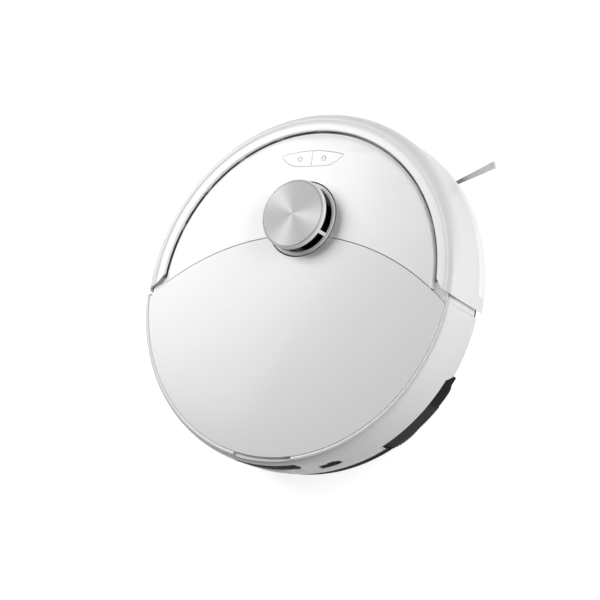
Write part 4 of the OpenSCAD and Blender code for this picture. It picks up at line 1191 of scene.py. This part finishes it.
@dataclass
class Bumper(Piece):
    """The sprung bumper: lip, shoulder, wall, soft strip and sensor window.

    Attributes: r: radius of its wall. wall: its thickness. fall: height of its shoulder.
        turn: how far the shoulder's centre is outside the lip. crease: depth of the soft valley
        round its top. valley: where the valley starts, is deepest and ends, outside the lip.
        crease_w: its half width. window: half width and half height of the window's opening.
        window_z: its middle's height. feet, foot_r: number and limits in radius of the feet.
        band: lower and upper edge of the strip above the skirt. band_end: angle of its first
        end, in degrees.
    """

    body: str = "bumper_unit"
    r: float = 174.3
    wall: float = 2.5
    fall: float = 15.0
    turn: float = 11.6
    crease: float = 0.8
    valley: tuple[float, float, float] = (5.4, 8.9, 11.2)
    crease_w: float = 1.45
    window: tuple[float, float] = (42.0, 10.0)
    window_z: float = 47.0
    feet: int = 9
    foot_r: tuple[float, float] = (154.6, 158.6)
    band: tuple[float, float] = (2.0, 16.0)
    band_end: float = 0.75

    def section(self) -> Outline:
        """Its closed section.

        Returns: its points, as radius and height.
        """
        cx, cy = L.lip + self.turn, L.top - 0.3 - self.fall
        a, b, w, s = self.r - cx, self.fall, self.wall, L.skirt
        first, mid, last = (L.lip + d for d in self.valley)
        valley = [(r, L.top - 0.3 * (r - L.lip - 6.5) / 5.1
                   - self.crease * math.exp(-(((r - mid) / self.crease_w) ** 2)))
                  for r in np.linspace(first, last, 17)]
        return ([(L.lip, L.top - 1.0), (L.lip + 0.3, L.top - 0.35), (L.lip + 1.1, L.top)]
                + valley + oval(cx, cy, a, b, 90, 0, 25)
                + [(self.r, s + 6), (self.r - 0.4, s + 3), (self.r - 1.7, s), (self.r - 1.7 - w, s),
                   (self.r - 0.3 - w, s + 3), (self.r - w, s + 6)]
                + oval(cx, cy, a - w, b - w, 0, 90, 17) + [(L.lip, L.top - 0.3 - w)])

    def build(self) -> None:
        """Makes the bumper, its strip and its window."""
        def ends(r: float) -> tuple[float, float]:
            """The two end angles at a radius, in degrees."""
            a = line_end(*BUMPER_LINE, r) + math.degrees(max(0.0, L.lip + 6 - r) / r)
            return a, 180 - a

        shell = swept("bumper_shell", self.section(), ends, 300)
        (x, z), c = self.window, 2.8
        face = [(-x, c - z), (c - x, -z), (x - c, -z), (x, c - z),
                (x, z - c), (x - c, z), (c - x, z), (-x, z - c)]
        stand = Matrix.Translation((0, 0, self.window_z * MM)) @ facing(0)
        shell = softened(cut(shell, prism(face, -260, -160, stand)), 0.5, 42)
        foot = box("foot", self.foot_r, (-4, 4), (L.deck + 0.3, L.top - 2.6))
        feet = ringed(softened(cleaned(foot), 0.4), WHITE_BUMPER, self.feet, 22, 17 * self.feet)
        self.fit(joined("bumper_shell", [shell, feet]), WHITE_BUMPER, "bumper")
        self.strip()
        self.dress(DARK_WINDOW, "bumper_window")

    def strip(self) -> None:
        """Makes the soft strip, with rounded ends and a crowned face."""
        steps, across, back = 240, 12, self.r - 1
        low, high = (L.skirt + d for d in self.band)
        mid, half = (low + high) / 2, (high - low) / 2
        span = 180 - 2 * self.band_end
        verts = []
        for k in range(steps + 1):
            s = k / steps
            s = s * s * (3 - 2 * s) * 0.2 + s * 0.8 if 0.02 < s < 0.98 else s
            t = min(s, 1 - s) * math.radians(span) * self.r
            height = half if t >= half else math.sqrt(max(half**2 - (half - t) ** 2, 0.04))
            c, d = cosd(self.band_end + span * s), sind(self.band_end + span * s)
            for i in range(across + 1):
                u = -1 + 2 * i / across
                r = self.r - 0.25 + (L.body - self.r + 0.24) * max(0.0, 1 - abs(u) ** 4)
                if u < -0.3:
                    r -= 0.25 * (-u - 0.3)
                verts.append((r * c, r * d, mid + u * height))
            verts += [(back * c, back * d, mid + height), (back * c, back * d, mid - height)]
        band = put("bumper_band", verts, skin(steps + 1, across + 3, False))
        self.fit(softened(cleaned(band), 0), WHITE_STRIP, "bumper_strip")


@dataclass(frozen=True)
class Pane:
    """A dark pane in the rear wall.

    Attributes: node: the node it stands for. outline: its window's outline, seen from behind.
        turn: its angle from the middle of the rear. half: half its width, in degrees.
    """

    node: str
    outline: tuple[tuple[float, float], ...]
    turn: float
    half: float


REAR_WINDOW = Pane("rear_window", ((-37, 66.0), (-32, 60), (32, 60), (37, 66.0), (33, 73.5),
                                   (-33, 73.5)), 0, 13.5)
REFILL_PORT = Pane("refill_port", ((-11.5, 47.0), (6.5, 47.0), (12.5, 50), (11, 57.5), (9, 57.5), (8, 59.5),
                                   (1, 59.5), (0, 57.5), (-9.5, 57.5)), 19.5, 5.0)


@dataclass
class RearShell(Piece):
    """The white wall round the rear, with its shoulder, windows, notches and finger scoop.

    Attributes: shoulder: its radius. wall: its thickness. ledge: inner radius of the lid's ledge.
        bead, bead_n: half size and points of the bright bead round the lid. curve, curve_n:
        height and points of the wall's curved upper part. notch: top of the mop notches.
        low: the rear's lower edge. front: the lower edge ahead of the notches. skirt: radius
        and lower edge of the black skirt. corner: rounding of its front corners. scoop: depth
        and half angle of the finger scoop. gap_r, gap_z, gap: radii, levels and angles of the
        floor in the gap at a bumper's end. tongue: radius and lower edge of the wall there.
        block: end angles of the block at a notch's front. fringe: end angles of the ribbed
        strip. fringe_z, lean: its lower edge and its slope. ribs: how many it has.
    """

    shoulder: float = 7.4
    wall: float = 2.5
    ledge: float = 158.0
    bead: float = 2.2
    bead_n: int = 12
    curve: float = 16.0
    curve_n: int = 20
    notch: float = 39.5
    low: float = 24.0
    front: float = 26.4
    skirt: tuple[float, float] = (172.0, 15.5)
    corner: float = 6.0
    scoop: tuple[float, float] = (2.6, 11.0)
    gap_r: tuple[float, float] = (149.6, 166.0)
    gap_z: tuple[float, float] = (74.6, 75.8)
    gap: tuple[float, float] = (-6.4, 1.6)
    tongue: tuple[float, float] = (171.5, 27.5)
    block: tuple[float, float] = (-35.0, -24.9)
    fringe: tuple[float, float] = (-55.6, -34.9)
    fringe_z: float = 9.5
    lean: float = 0.067
    ribs: int = 44

    def section(self) -> Outline:
        """Its closed section.

        Returns: its points, as radius and height.
        """
        c, z = L.body - self.shoulder, L.top - 0.2 - self.shoulder
        r, low, seat, rim = L.body, self.low, L.top - L.cover - 0.3, L.lid + 0.06
        bead = oval(rim + self.bead, L.top - 1, self.bead, 1, 160, 45, self.bead_n)
        a, b = r - bead[-1][0] + 0.9, self.curve
        return (bead + oval(r - a, bead[-1][1] + 0.1 - b, a, b, 76, 0, self.curve_n)
                + [(r, low + 14), (r - 0.4, low + 10), (r - 1.2, low + 6), (r - 2.4, low + 2.6),
                   (r - 3, low), (r - 5.3, low), (r - 3.7, low + 6), (r - self.wall, low + 14)]
                + arc(c, z, self.shoulder - self.wall, 0, 50, 10)
                + [(L.lid, seat - self.wall), (self.ledge, seat - self.wall), (self.ledge, seat),
                   (rim, seat), (rim, L.top - 0.9)])

    def side_r(self, z: float) -> float:
        """The wall's outer radius at a height."""
        outer = sorted((h, r) for r, h in self.section()[self.bead_n:self.bead_n + self.curve_n + 1])
        return float(np.interp(z, [h for h, _ in outer], [r for _, r in outer]))

    def build(self) -> None:
        """Makes the shell with its cut-outs."""
        def ends(r: float) -> tuple[float, float]:
            """The two end angles at a radius, in degrees."""
            a = line_end(*SHELL_LINE, r)
            return 180 - a, 360 + a

        shell = swept("rear_wall", self.section(), ends, 300)
        cutters = []
        for s in (1, -1):
            cutters.append(self.below(s))
            edge = self.front_corner()
            cutters.append(prism(edge if s > 0 else mirrored(edge), -5, L.top + 5))
        deep, half = self.scoop
        lens = (arc(0, 0, L.body - 4.3, 270 - half, 270 + half, 24)
                + arc(0, 0, self.ledge - 1, 270 + half, 270 - half, 24))
        cutters.append(prism(lens, L.top - deep, L.top + 20))
        for pane in (REAR_WINDOW, REFILL_PORT):
            cutters.append(prism(pane.outline, 166, 190, facing(pane.turn)))
            self.pane(pane)
        parts = [softened(cut(shell, *cutters), 0.45, 40)]
        (r0, r1), (z0, z1) = self.gap_r, self.gap_z
        for side in (Side.RIGHT, Side.LEFT):
            floor = [(r0, z0), (r1, z0), (r1, z1), (r0, z1)]
            parts.append(softened(swept("gap_floor", floor, between(*side.ends(*self.gap)), 12), 0.1))
        parts += [self.inner_wall(side) for side in (Side.RIGHT, Side.LEFT)]
        # The rear wall, its gap floors and inner walls take the darker white, which is painted shade.
        self.fit(joined("rear_wall", parts), WHITE_REAR_SHADED, "rear_shell")
        (r, z), high = self.skirt, self.notch - 8
        skirt = swept("rear_skirt", [(r - 3, z - 1.0), (r - 0.8, z - 1.0), (r - 0.1, z), (r - 0.1, high),
                                     (r - 3, high)], between(-125.2, -54.8), 80)
        self.fit(softened(skirt, 0.3), BLACK_BASE)
        for side in Side:
            self.notch_block(side)
            self.notch_fringe(side)

    def below(self, side: int) -> bpy.types.Object:
        """What is cut away under the wall's front part and its mop notch.

        Args: side: 1 or -1.
        Returns: a ring piece whose top follows the lower edge.
        """
        tops = [(6, self.front), (-24.2, self.front), (-26.2, self.notch), (-54.8, self.notch),
                (-55.4, self.low - 1)]
        angles = sorted({t for t, _ in tops} | {float(a) for a in range(-54, 6, 2)}, reverse=True)
        inner, outer, low = 150, 190, -5
        verts, faces = [], []
        for k, a in enumerate(angles):
            z = float(np.interp(-a, [-t for t, _ in tops], [h for _, h in tops]))
            c, s = side * cosd(a), sind(a)
            verts += [(r * c, r * s, h) for r, h in ((inner, low), (outer, low), (outer, z), (inner, z))]
            if k:
                n = 4 * k
                for i in range(4):
                    j = (i + 1) % 4
                    faces += [(n - 4 + i, n - 4 + j, n + j), (n - 4 + i, n + j, n + i)]
        n = len(verts) - 4
        return cleaned(put("below", verts, faces + [(0, 1, 2, 3), (n + 3, n + 2, n + 1, n)]))

    def pane(self, pane: Pane) -> None:
        """Makes the dark pane that sits in a window, just under the wall's surface.

        Args: pane: which one.
        """
        levels, middle = [z for _, z in pane.outline], pane.turn - 90
        heights = [float(z) for z in np.linspace(min(levels) - 1, max(levels) + 1, 12)]
        outer = [(self.side_r(z) - 0.45, z) for z in heights]
        section = outer + [(r - 1.5, z) for r, z in reversed(outer)]
        made = swept(f"{pane.node}_pane", section, between(middle - pane.half, middle + pane.half), 48)
        self.fit(softened(made, 0), WINDOW_BLACK, pane.node)

    def notch_block(self, side: Side) -> None:
        """Makes the smooth black block at a notch's front end. Args: side: which one."""
        (r, z), high = self.skirt, self.notch + 1
        made = swept("block", [(r - 5, z), (r - 0.6, z), (r, z + 0.8), (r, high), (r - 5, high)],
                     between(*side.ends(*self.block)), 24)
        curve = [(4, 8), (4, 28), (-0.6, 28), (-3.5, 22), (-9, 17.5), (-17, 15.5), (-20, 15.4), (-20, 8)]
        corner = prism(curve, 155, 185, facing(self.block[1] + 90))
        if side is Side.LEFT:
            corner.data.transform(Matrix.Scale(-1, 4, (1, 0, 0)))
            corner.data.flip_normals()
        self.fit(softened(cut(made, corner), 0.5, 40), BLACK_BASE)

    def notch_fringe(self, side: Side) -> None:
        """Makes the ribbed strip that hangs in a mop notch. Args: side: which one."""
        low, top, r = self.fringe_z, self.notch + 1, self.skirt[0] - 0.9
        ends = side.ends(*self.fringe)
        section = [(168.1, low + 0.6), (168.7, low), (169.1, low + 0.5), (r, top), (r - 2.3, top)]
        strip = softened(swept("fringe", section, between(*ends), 40), 0.2)
        foot = r - self.lean * top
        outline = [(foot - 0.3, -0.35), (foot + 0.4, -0.2), (foot + 0.4, 0.2), (foot - 0.3, 0.35)]
        rib = softened(prism(outline, low + 0.4, top), 0)
        rib.data.transform(Matrix(((1, 0, self.lean, 0), (0, 1, 0, 0), (0, 0, 1, 0), (0, 0, 0, 1))))
        ribs = ringed(rib, FRINGE_GREY, self.ribs, ends[0] + 0.2, 20.8)
        self.fit(joined(f"{side.name.lower()}_fringe", [strip, ribs]), FRINGE_GREY)

    def front_corner(self) -> Outline:
        """What is cut away to round the wall's front corner. Returns: its plan."""
        slope, level = SHELL_LINE
        size, r = math.hypot(1, slope), self.corner
        a = math.radians(line_end(slope, level - r * size, L.body - r))
        cx, cy = (L.body - r) * math.cos(a), (L.body - r) * math.sin(a)
        inner = arc(cx, cy, r, math.degrees(math.atan2(1, slope)), math.degrees(a), 10)
        (x0, y0), (x1, y1) = inner[0], inner[-1]
        return inner + [(x1 * 1.06, y1 * 1.06), (x1 * 1.06 + 4, y0 + 12),
                        (x0 + 8 * slope / size, y0 + 8 / size)]

    def inner_wall(self, side: Side) -> bpy.types.Object:
        """The inner wall that closes the gap at a bumper's end. Args: side: which. Returns: it."""
        (r, low), z = self.tongue, L.top - 16
        section = ([(r - 1.2, low), (r, low + 3)] + oval(r - 9, z, 9, 11.5, 0, 75, 10)
                   + oval(r - 9, z, 7.2, 9.7, 75, 0, 10) + [(r - 1.8, low + 3), (r - 3, low)])
        return softened(swept("tongue", section, between(*side.ends(self.gap[0], 1.0)), 12), 0.2)


@dataclass
class Turret(Piece):
    """The laser turret: sprung cage, brushed disc and the turning head inside.

    Attributes: r: radius of the cage. disc: radius of the disc. low, high: levels of the slots.
        top: its top. posts: number of posts. post_w: their width. first: angle of the first.
    """

    body: str = "turret_unit"
    r: float = 34.7
    disc: float = 32.8
    low: float = 80.7
    high: float = 92.4
    top: float = 96.5
    posts: int = 4
    post_w: float = 3.4
    first: float = 61.5

    def build(self) -> None:
        """Makes the cage and the disc."""
        centre, r, d, t, w = (0, L.turret_y), self.r, self.disc, self.top, self.post_w / 2
        foot, flat = L.deck + 1, L.top
        lower = turned("lower_ring", [
            (r - 2.5, foot), (r, foot), (r, flat - 2), (r + 2.2, flat - 1.2), (r + 2.2, flat + 0.3),
            (r + 1.7, flat + 0.8), (r + 0.3, self.low - 0.1), (r, self.low), (r - 1.1, self.low),
            (r - 1.1, flat - 1), (r - 2.5, flat - 3)], centre)
        cap = turned("cap_ring", [
            (r, self.high), (r, t - 2.2), (r - 0.3, t - 1.1), (d + 0.7, t - 0.3), (d + 0.35, t - 0.25),
            (d + 0.15, t - 0.6), (d + 0.15, t - 1.4), (8, t - 1.4), (8, t - 3), (r - 4, t - 3),
            (r - 1.1, self.high)], centre)
        post = box("post", (r - 1.1, r - 0.02), (-w, w), (self.low - 1, self.high + 0.6))
        posts = ringed(softened(cleaned(post), 0.25), WHITE_SHELL, self.posts, self.first, centre=centre)
        cage = joined("turret_cage", [softened(lower, 0.3, 30), softened(cap, 0.25, 30), posts])
        self.fit(cage, WHITE_SHELL, "turret_cover")
        dish = turned("turret_face", [
            (0.01, t - 1.35), (d - 0.05, t - 1.35), (d, t - 1.1), (d, t - 0.45), (d - 0.35, t - 0.12),
            (d - 1.5, t - 0.02), (0.01, t - 0.3)], centre, 256)
        self.fit(softened(dish, 0), BRUSHED_DISC, "turret_disc")
        self.dress(DARK_WINDOW, "lidar_head")


@dataclass
class SideBrush(Piece):
    """The three-armed side brush.

    Attributes: centre: X and Y of its hub. reach, root: radii of the bristles' tips and roots.
        first: angle of its first arm. count: bristles in a tuft. bristle: radius of a bristle.
        spread, drop: how far a tuft fans out and slopes down, in radians. width: half width of
        a tuft's root. tuft_z: its height.
    """

    body: str = "side_sweeper"
    centre: tuple[float, float] = (94.0, 111.0)
    reach: float = 71.0
    root: float = 17.0
    first: float = 25.6
    count: int = 150
    bristle: float = 0.16
    spread: float = 0.052
    drop: float = 0.019
    width: float = 1.0
    tuft_z: float = 5.0

    def build(self) -> None:
        """Makes the hub with its arms, and the tufts."""
        hub = turned("hub", [(0.01, 4.9), (8, 4.9), (11, 6.4), (11, 9.5), (9.5, 11.9), (0.01, 11.9)],
                     self.centre, 64)
        shaft = turned("shaft", [(0.01, 11), (3, 11), (3, 20.9), (0.01, 20.9)], self.centre, 32)
        arm = [(6, -3.6), (16, -2.7), (27.6, -3.2), (28, -2.6), (28, 2.6), (27.6, 3.2), (16, 2.7), (6, 3.6)]
        arms = self.three(softened(prism(arm, 3.5, 6.2), 0.7, 40, 2), BRUSH_RUBBER, "arms")
        whole = joined("side_brush_hub", [softened(hub, 0.5), softened(shaft, 0.2), arms])
        self.fit(whole, BRUSH_RUBBER, "side_brush")
        bristle = tube("bristle", [(0, 0, 0), (500, 0, 0), (1000, 0, 0)], self.bristle, 0)
        tuft = tuft_tree().grow(
            bristle, BRISTLE_GREY, Count=self.count, Length=(self.reach - self.root) * MM,
            Spread=self.spread, Drop=self.drop, Root=self.root * MM, Width=self.width * MM)
        tufts = self.three(moved(tuft, 0, 0, self.tuft_z), BRISTLE_GREY, "side_brush_tufts")
        self.fit(tufts, BRISTLE_GREY, "side_brush_bristles")

    def three(self, seed: bpy.types.Object, finish: Any, name: str) -> bpy.types.Object:
        """Repeats a shape on the three arms, under a new name."""
        seed.name = name
        return ringed(seed, finish, 3, self.first, centre=self.centre)


@dataclass
class MopPad(Piece):
    """One spinning mop pad: a padded microfibre disc with a bound edge.

    Attributes: side: which one. r: its radius. high: its height. x, y: its axis. bound: where
        its flat sole ends, as a share of the radius. ring: height of its rings of stitching.
        gathers, gather: number and height of the pleats round its edge. steps: segments round it.
    """

    side: Side = Side.RIGHT
    r: float = 59.4
    high: float = 9.9
    x: float = 68.0
    y: float = -84.0
    bound: float = 0.955
    ring: float = 0.35
    gathers: int = 96
    gather: float = 0.38
    steps: int = 288

    def profile(self) -> list[tuple[float, float, float]]:
        """Its half section from the sole's middle outwards.

        Returns: its rings, each as radius, height and share of the pleats.
        """
        sole, edge, r, mid = 13, 12, self.r, self.high / 2
        rows = []
        for i in range(1, sole + 1):
            z = self.ring * (1 - math.cos(i / sole * 9 * math.pi)) if i < sole else 0
            rows.append((r * (i / sole) * self.bound, z, 0.0))
        for i in range(1, edge):
            t = math.radians(-90 + 180 * i / edge)
            rows.append((r * self.bound + r * (1 - self.bound) * math.cos(t), mid + mid * math.sin(t), 1.0))
        return rows + [(r * 0.90, self.high, 0.3), (r * 0.5, self.high - 0.1, 0.0)]

    def build(self) -> None:
        """Makes the pad."""
        cx, n, rows = self.x * self.side.value, self.steps, self.profile()
        verts = [(cx, self.y, 0.0)]
        for r, z, rib in rows:
            for k in range(n):
                a = 2 * math.pi * k / n
                rr = r + self.gather * rib * math.cos(a * self.gathers) * (0.7 + 0.3 * math.sin(a * 7 + r))
                verts.append((cx + rr * math.cos(a), self.y + rr * math.sin(a), z))
        verts.append((cx, self.y, self.high - 0.1))
        top = len(verts) - 1
        turn = [(k, (k + 1) % n) for k in range(n)]
        faces = [[0, 1 + b, 1 + a] for a, b in turn]
        for j in range(1, top - n, n):
            faces += [[j + a, j + b, j + n + b, j + n + a] for a, b in turn]
        faces += [[top, top - n + a, top - n + b] for a, b in turn]
        name = self.side.name.lower()
        pad = softened(cleaned(put(f"{name}_pad_cloth", verts, faces)), 0)
        pad = self.fit(pad, PAD_FABRIC, f"{name}_mop_pad", body=f"{name}_mop")


@dataclass
class Insides(Piece):
    """Everything else, which keeps its construction shape.

    Attributes: tray_r: radius to which the base is cut back behind the notches. notch: angles
        between which it is.
    """

    tray_r: float = 168.0
    notch: tuple[float, float] = (-56.0, -20.0)

    def build(self) -> None:
        """Dresses the remaining nodes."""
        self.base()
        for finish, nodes in (
            (BLACK_BASE, "base_rim battery_cover brush_guard caster_socket wheel_housings brush_housing "
                         "air_duct"),
            (DARK_WINDOW, "cliff_sensors"),
            (FRAME_GREY, "frame_deck"),
            (CONTACT_METAL, "charging_contacts"),
            (STEEL, "base_screws turret_springs"),
            (MOTOR_METAL, "brush_motor lidar_motor lift_motor"),
            (DARK_PLASTIC, "side_brush_motor mop_carriage mop_gearboxes left_mop_plate right_mop_plate "
                           "left_arm right_arm lidar_base lidar_pulley speaker bumper_switches "
                           "blower_housing caster_fork"),
            (BOARD_GREEN, "main_board"),
            (CELL_BLUE, "battery"),
            (LIGHT_PLASTIC, "blower_impeller left_rim right_rim caster_wheel"),
            (SMOKE_PLASTIC, "dust_bin water_tank"),
            (FILTER_WHITE, "bin_filter"),
            (LATCH_ORANGE, "bin_latch"),
            (TYRE_RUBBER, "left_tyre right_tyre"),
            (BELT_RUBBER, "lidar_belt"),
            (BRUSH_RUBBER, "main_brush_core main_brush_fins"),
        ):
            self.dress(finish, *nodes.split())

    def base(self) -> None:
        """Makes the black base, trimmed behind the skirt, the blocks and the fringes."""
        made, r = linked("base_tray", NODES["base_chassis"].data.copy()), self.tray_r
        behind = [(r, -5), (185, -5), (185, 41), (r, 41)]
        trims = [swept("trim", behind, between(*side.ends(*self.notch)), 40)
                 for side in (Side.RIGHT, Side.LEFT)]
        rim = [(162.5, -5), (190, -5), (190, 16), (169.4, 16), (168.4, 13), (164.0, 9), (162.5, 6)]
        trims.append(swept("trim", rim, between(-160.0, -20.0), 120))
        self.fit(softened(cut(cleaned(made), *trims), 0.3, 40, 2), BLACK_BASE, "base_chassis")


@dataclass(frozen=True)
class Lamp:
    """One soft lamp. Attributes: name: its name. place: in metres. size: its width. power: in watts."""

    name: str
    place: tuple[float, float, float]
    size: float
    power: float


@dataclass
class Studio:
    """The floor, the lamps and the camera.

    Attributes: azimuth, elevation, roll: the camera's bearing in degrees. distance: from its
        target, in metres. target: the point looked at. lens: in millimetres. half, floor_z:
        the floor's half width and level, in millimetres. grey, glow: its shade, and the light
        it adds where it is seen. surround: strength of the even light. aim: where the lamps
        point. lamps: the lamps.
    """

    azimuth: float = 68.56
    elevation: float = 54.18
    roll: float = 297.28
    distance: float = 1.4398
    target: tuple[float, float, float] = (-0.01287, -0.0062, 0.040)
    lens: float = 88.95
    half: float = 4000.0
    floor_z: float = -0.4
    grey: float = 0.62
    glow: float = 0.82
    surround: float = 0.055
    aim: tuple[float, float, float] = (0.0, 0.0, 0.04)
    lamps: tuple[Lamp, ...] = (
        Lamp("key", (-0.75, 0.35, 0.78), 0.6, 9.3),
        Lamp("side", (1.3, 0.35, 0.55), 0.8, 10.6),
        Lamp("low", (1.4, -0.6, 0.3), 0.9, 7.8),
        Lamp("back", (-0.5, 0.9, 1.2), 0.8, 2.3),
    )

    def build(self) -> None:
        """Sets the whole stage."""
        self.floor()
        for lamp in self.lamps:
            self.light(lamp)
        self.even()
        self.camera()
        bpy.context.scene.view_settings.view_transform = "Standard"

    def floor(self) -> None:
        """Makes the pale floor, which keeps a soft shadow."""
        w, z = self.half, self.floor_z
        made = put("studio_floor", [(-w, -w, z), (w, -w, z), (w, w, z), (-w, w, z)], [(0, 1, 2, 3)])
        p = Paint("studio_floor")
        path = add_node(p.tree, "ShaderNodeLightPath")
        seen = Wire(p, path.outputs["Is Camera Ray"]).math("MAXIMUM", Wire(p, path.outputs["Is Glossy Ray"]))
        plain = p.node("ShaderNodeBsdfDiffuse", {}, {"Color": (self.grey, self.grey, self.grey, 1)})
        glow = p.node("ShaderNodeEmission", {}, {"Color": (1, 1, 1, 1), "Strength": self.glow})
        both = p.node("ShaderNodeAddShader", {}, {0: plain, 1: glow})
        mixed = p.node("ShaderNodeMixShader", {}, {0: seen, 1: plain, 2: both})
        add_node(p.tree, "ShaderNodeOutputMaterial", {}, {"Surface": mixed})
        made.data.materials.append(p.material)

    def light(self, lamp: Lamp) -> None:
        """Adds a soft lamp. Args: lamp: which one."""
        data = bpy.data.lights.new(lamp.name, "AREA")
        data.energy, data.size = lamp.power, lamp.size
        made = linked(lamp.name, data)
        made.location = lamp.place
        made.rotation_euler = (Vector(self.aim) - Vector(lamp.place)).to_track_quat("-Z", "Y").to_euler()

    def even(self) -> None:
        """Adds the even surround, which is white where it is seen."""
        world = bpy.data.worlds.new("surround")
        world.use_nodes = True
        tree = world.node_tree
        tree.nodes.clear()
        dim, white = (add_node(tree, "ShaderNodeBackground", {}, {"Color": (1, 1, 1, 1), "Strength": level})
                      for level in (self.surround, 1.0))
        path = add_node(tree, "ShaderNodeLightPath")
        mix = add_node(tree, "ShaderNodeMixShader", {}, {
            0: path.outputs["Is Camera Ray"], 1: dim.outputs[0], 2: white.outputs[0]})
        add_node(tree, "ShaderNodeOutputWorld", {}, {0: mix.outputs[0]})
        bpy.context.scene.world = world

    def camera(self) -> None:
        """Places the camera."""
        az, el, roll = (math.radians(a) for a in (self.azimuth, self.elevation, self.roll))
        back = Vector((math.sin(az) * math.cos(el), -math.cos(az) * math.cos(el), math.sin(el)))
        right = (-back).cross(Vector((0, 0, 1))).normalized()
        up = right.cross(-back)
        right, up = right * math.cos(roll) + up * math.sin(roll), up * math.cos(roll) - right * math.sin(roll)
        data = bpy.data.cameras.new("view")
        data.lens, data.sensor_width = self.lens, 36.0
        made = linked("view", data)
        turn = Matrix((right, up, back)).transposed().to_4x4()
        made.matrix_world = Matrix.Translation(Vector(self.target) + back * self.distance) @ turn
        bpy.context.scene.camera = made


def main() -> None:
    """Builds the machine and its stage, in order."""
    logging.basicConfig(level=logging.INFO, format="%(message)s")
    builders = [Insides(), TopPanel(), Lid(), Bumper(), RearShell(), Turret(), SideBrush(),
                MopPad(side=Side.LEFT), MopPad(side=Side.RIGHT), Studio()]
    for builder in builders:
        log.info("building %s", type(builder).__name__)
        builder.build()


if __name__ == "__main__":
    main()
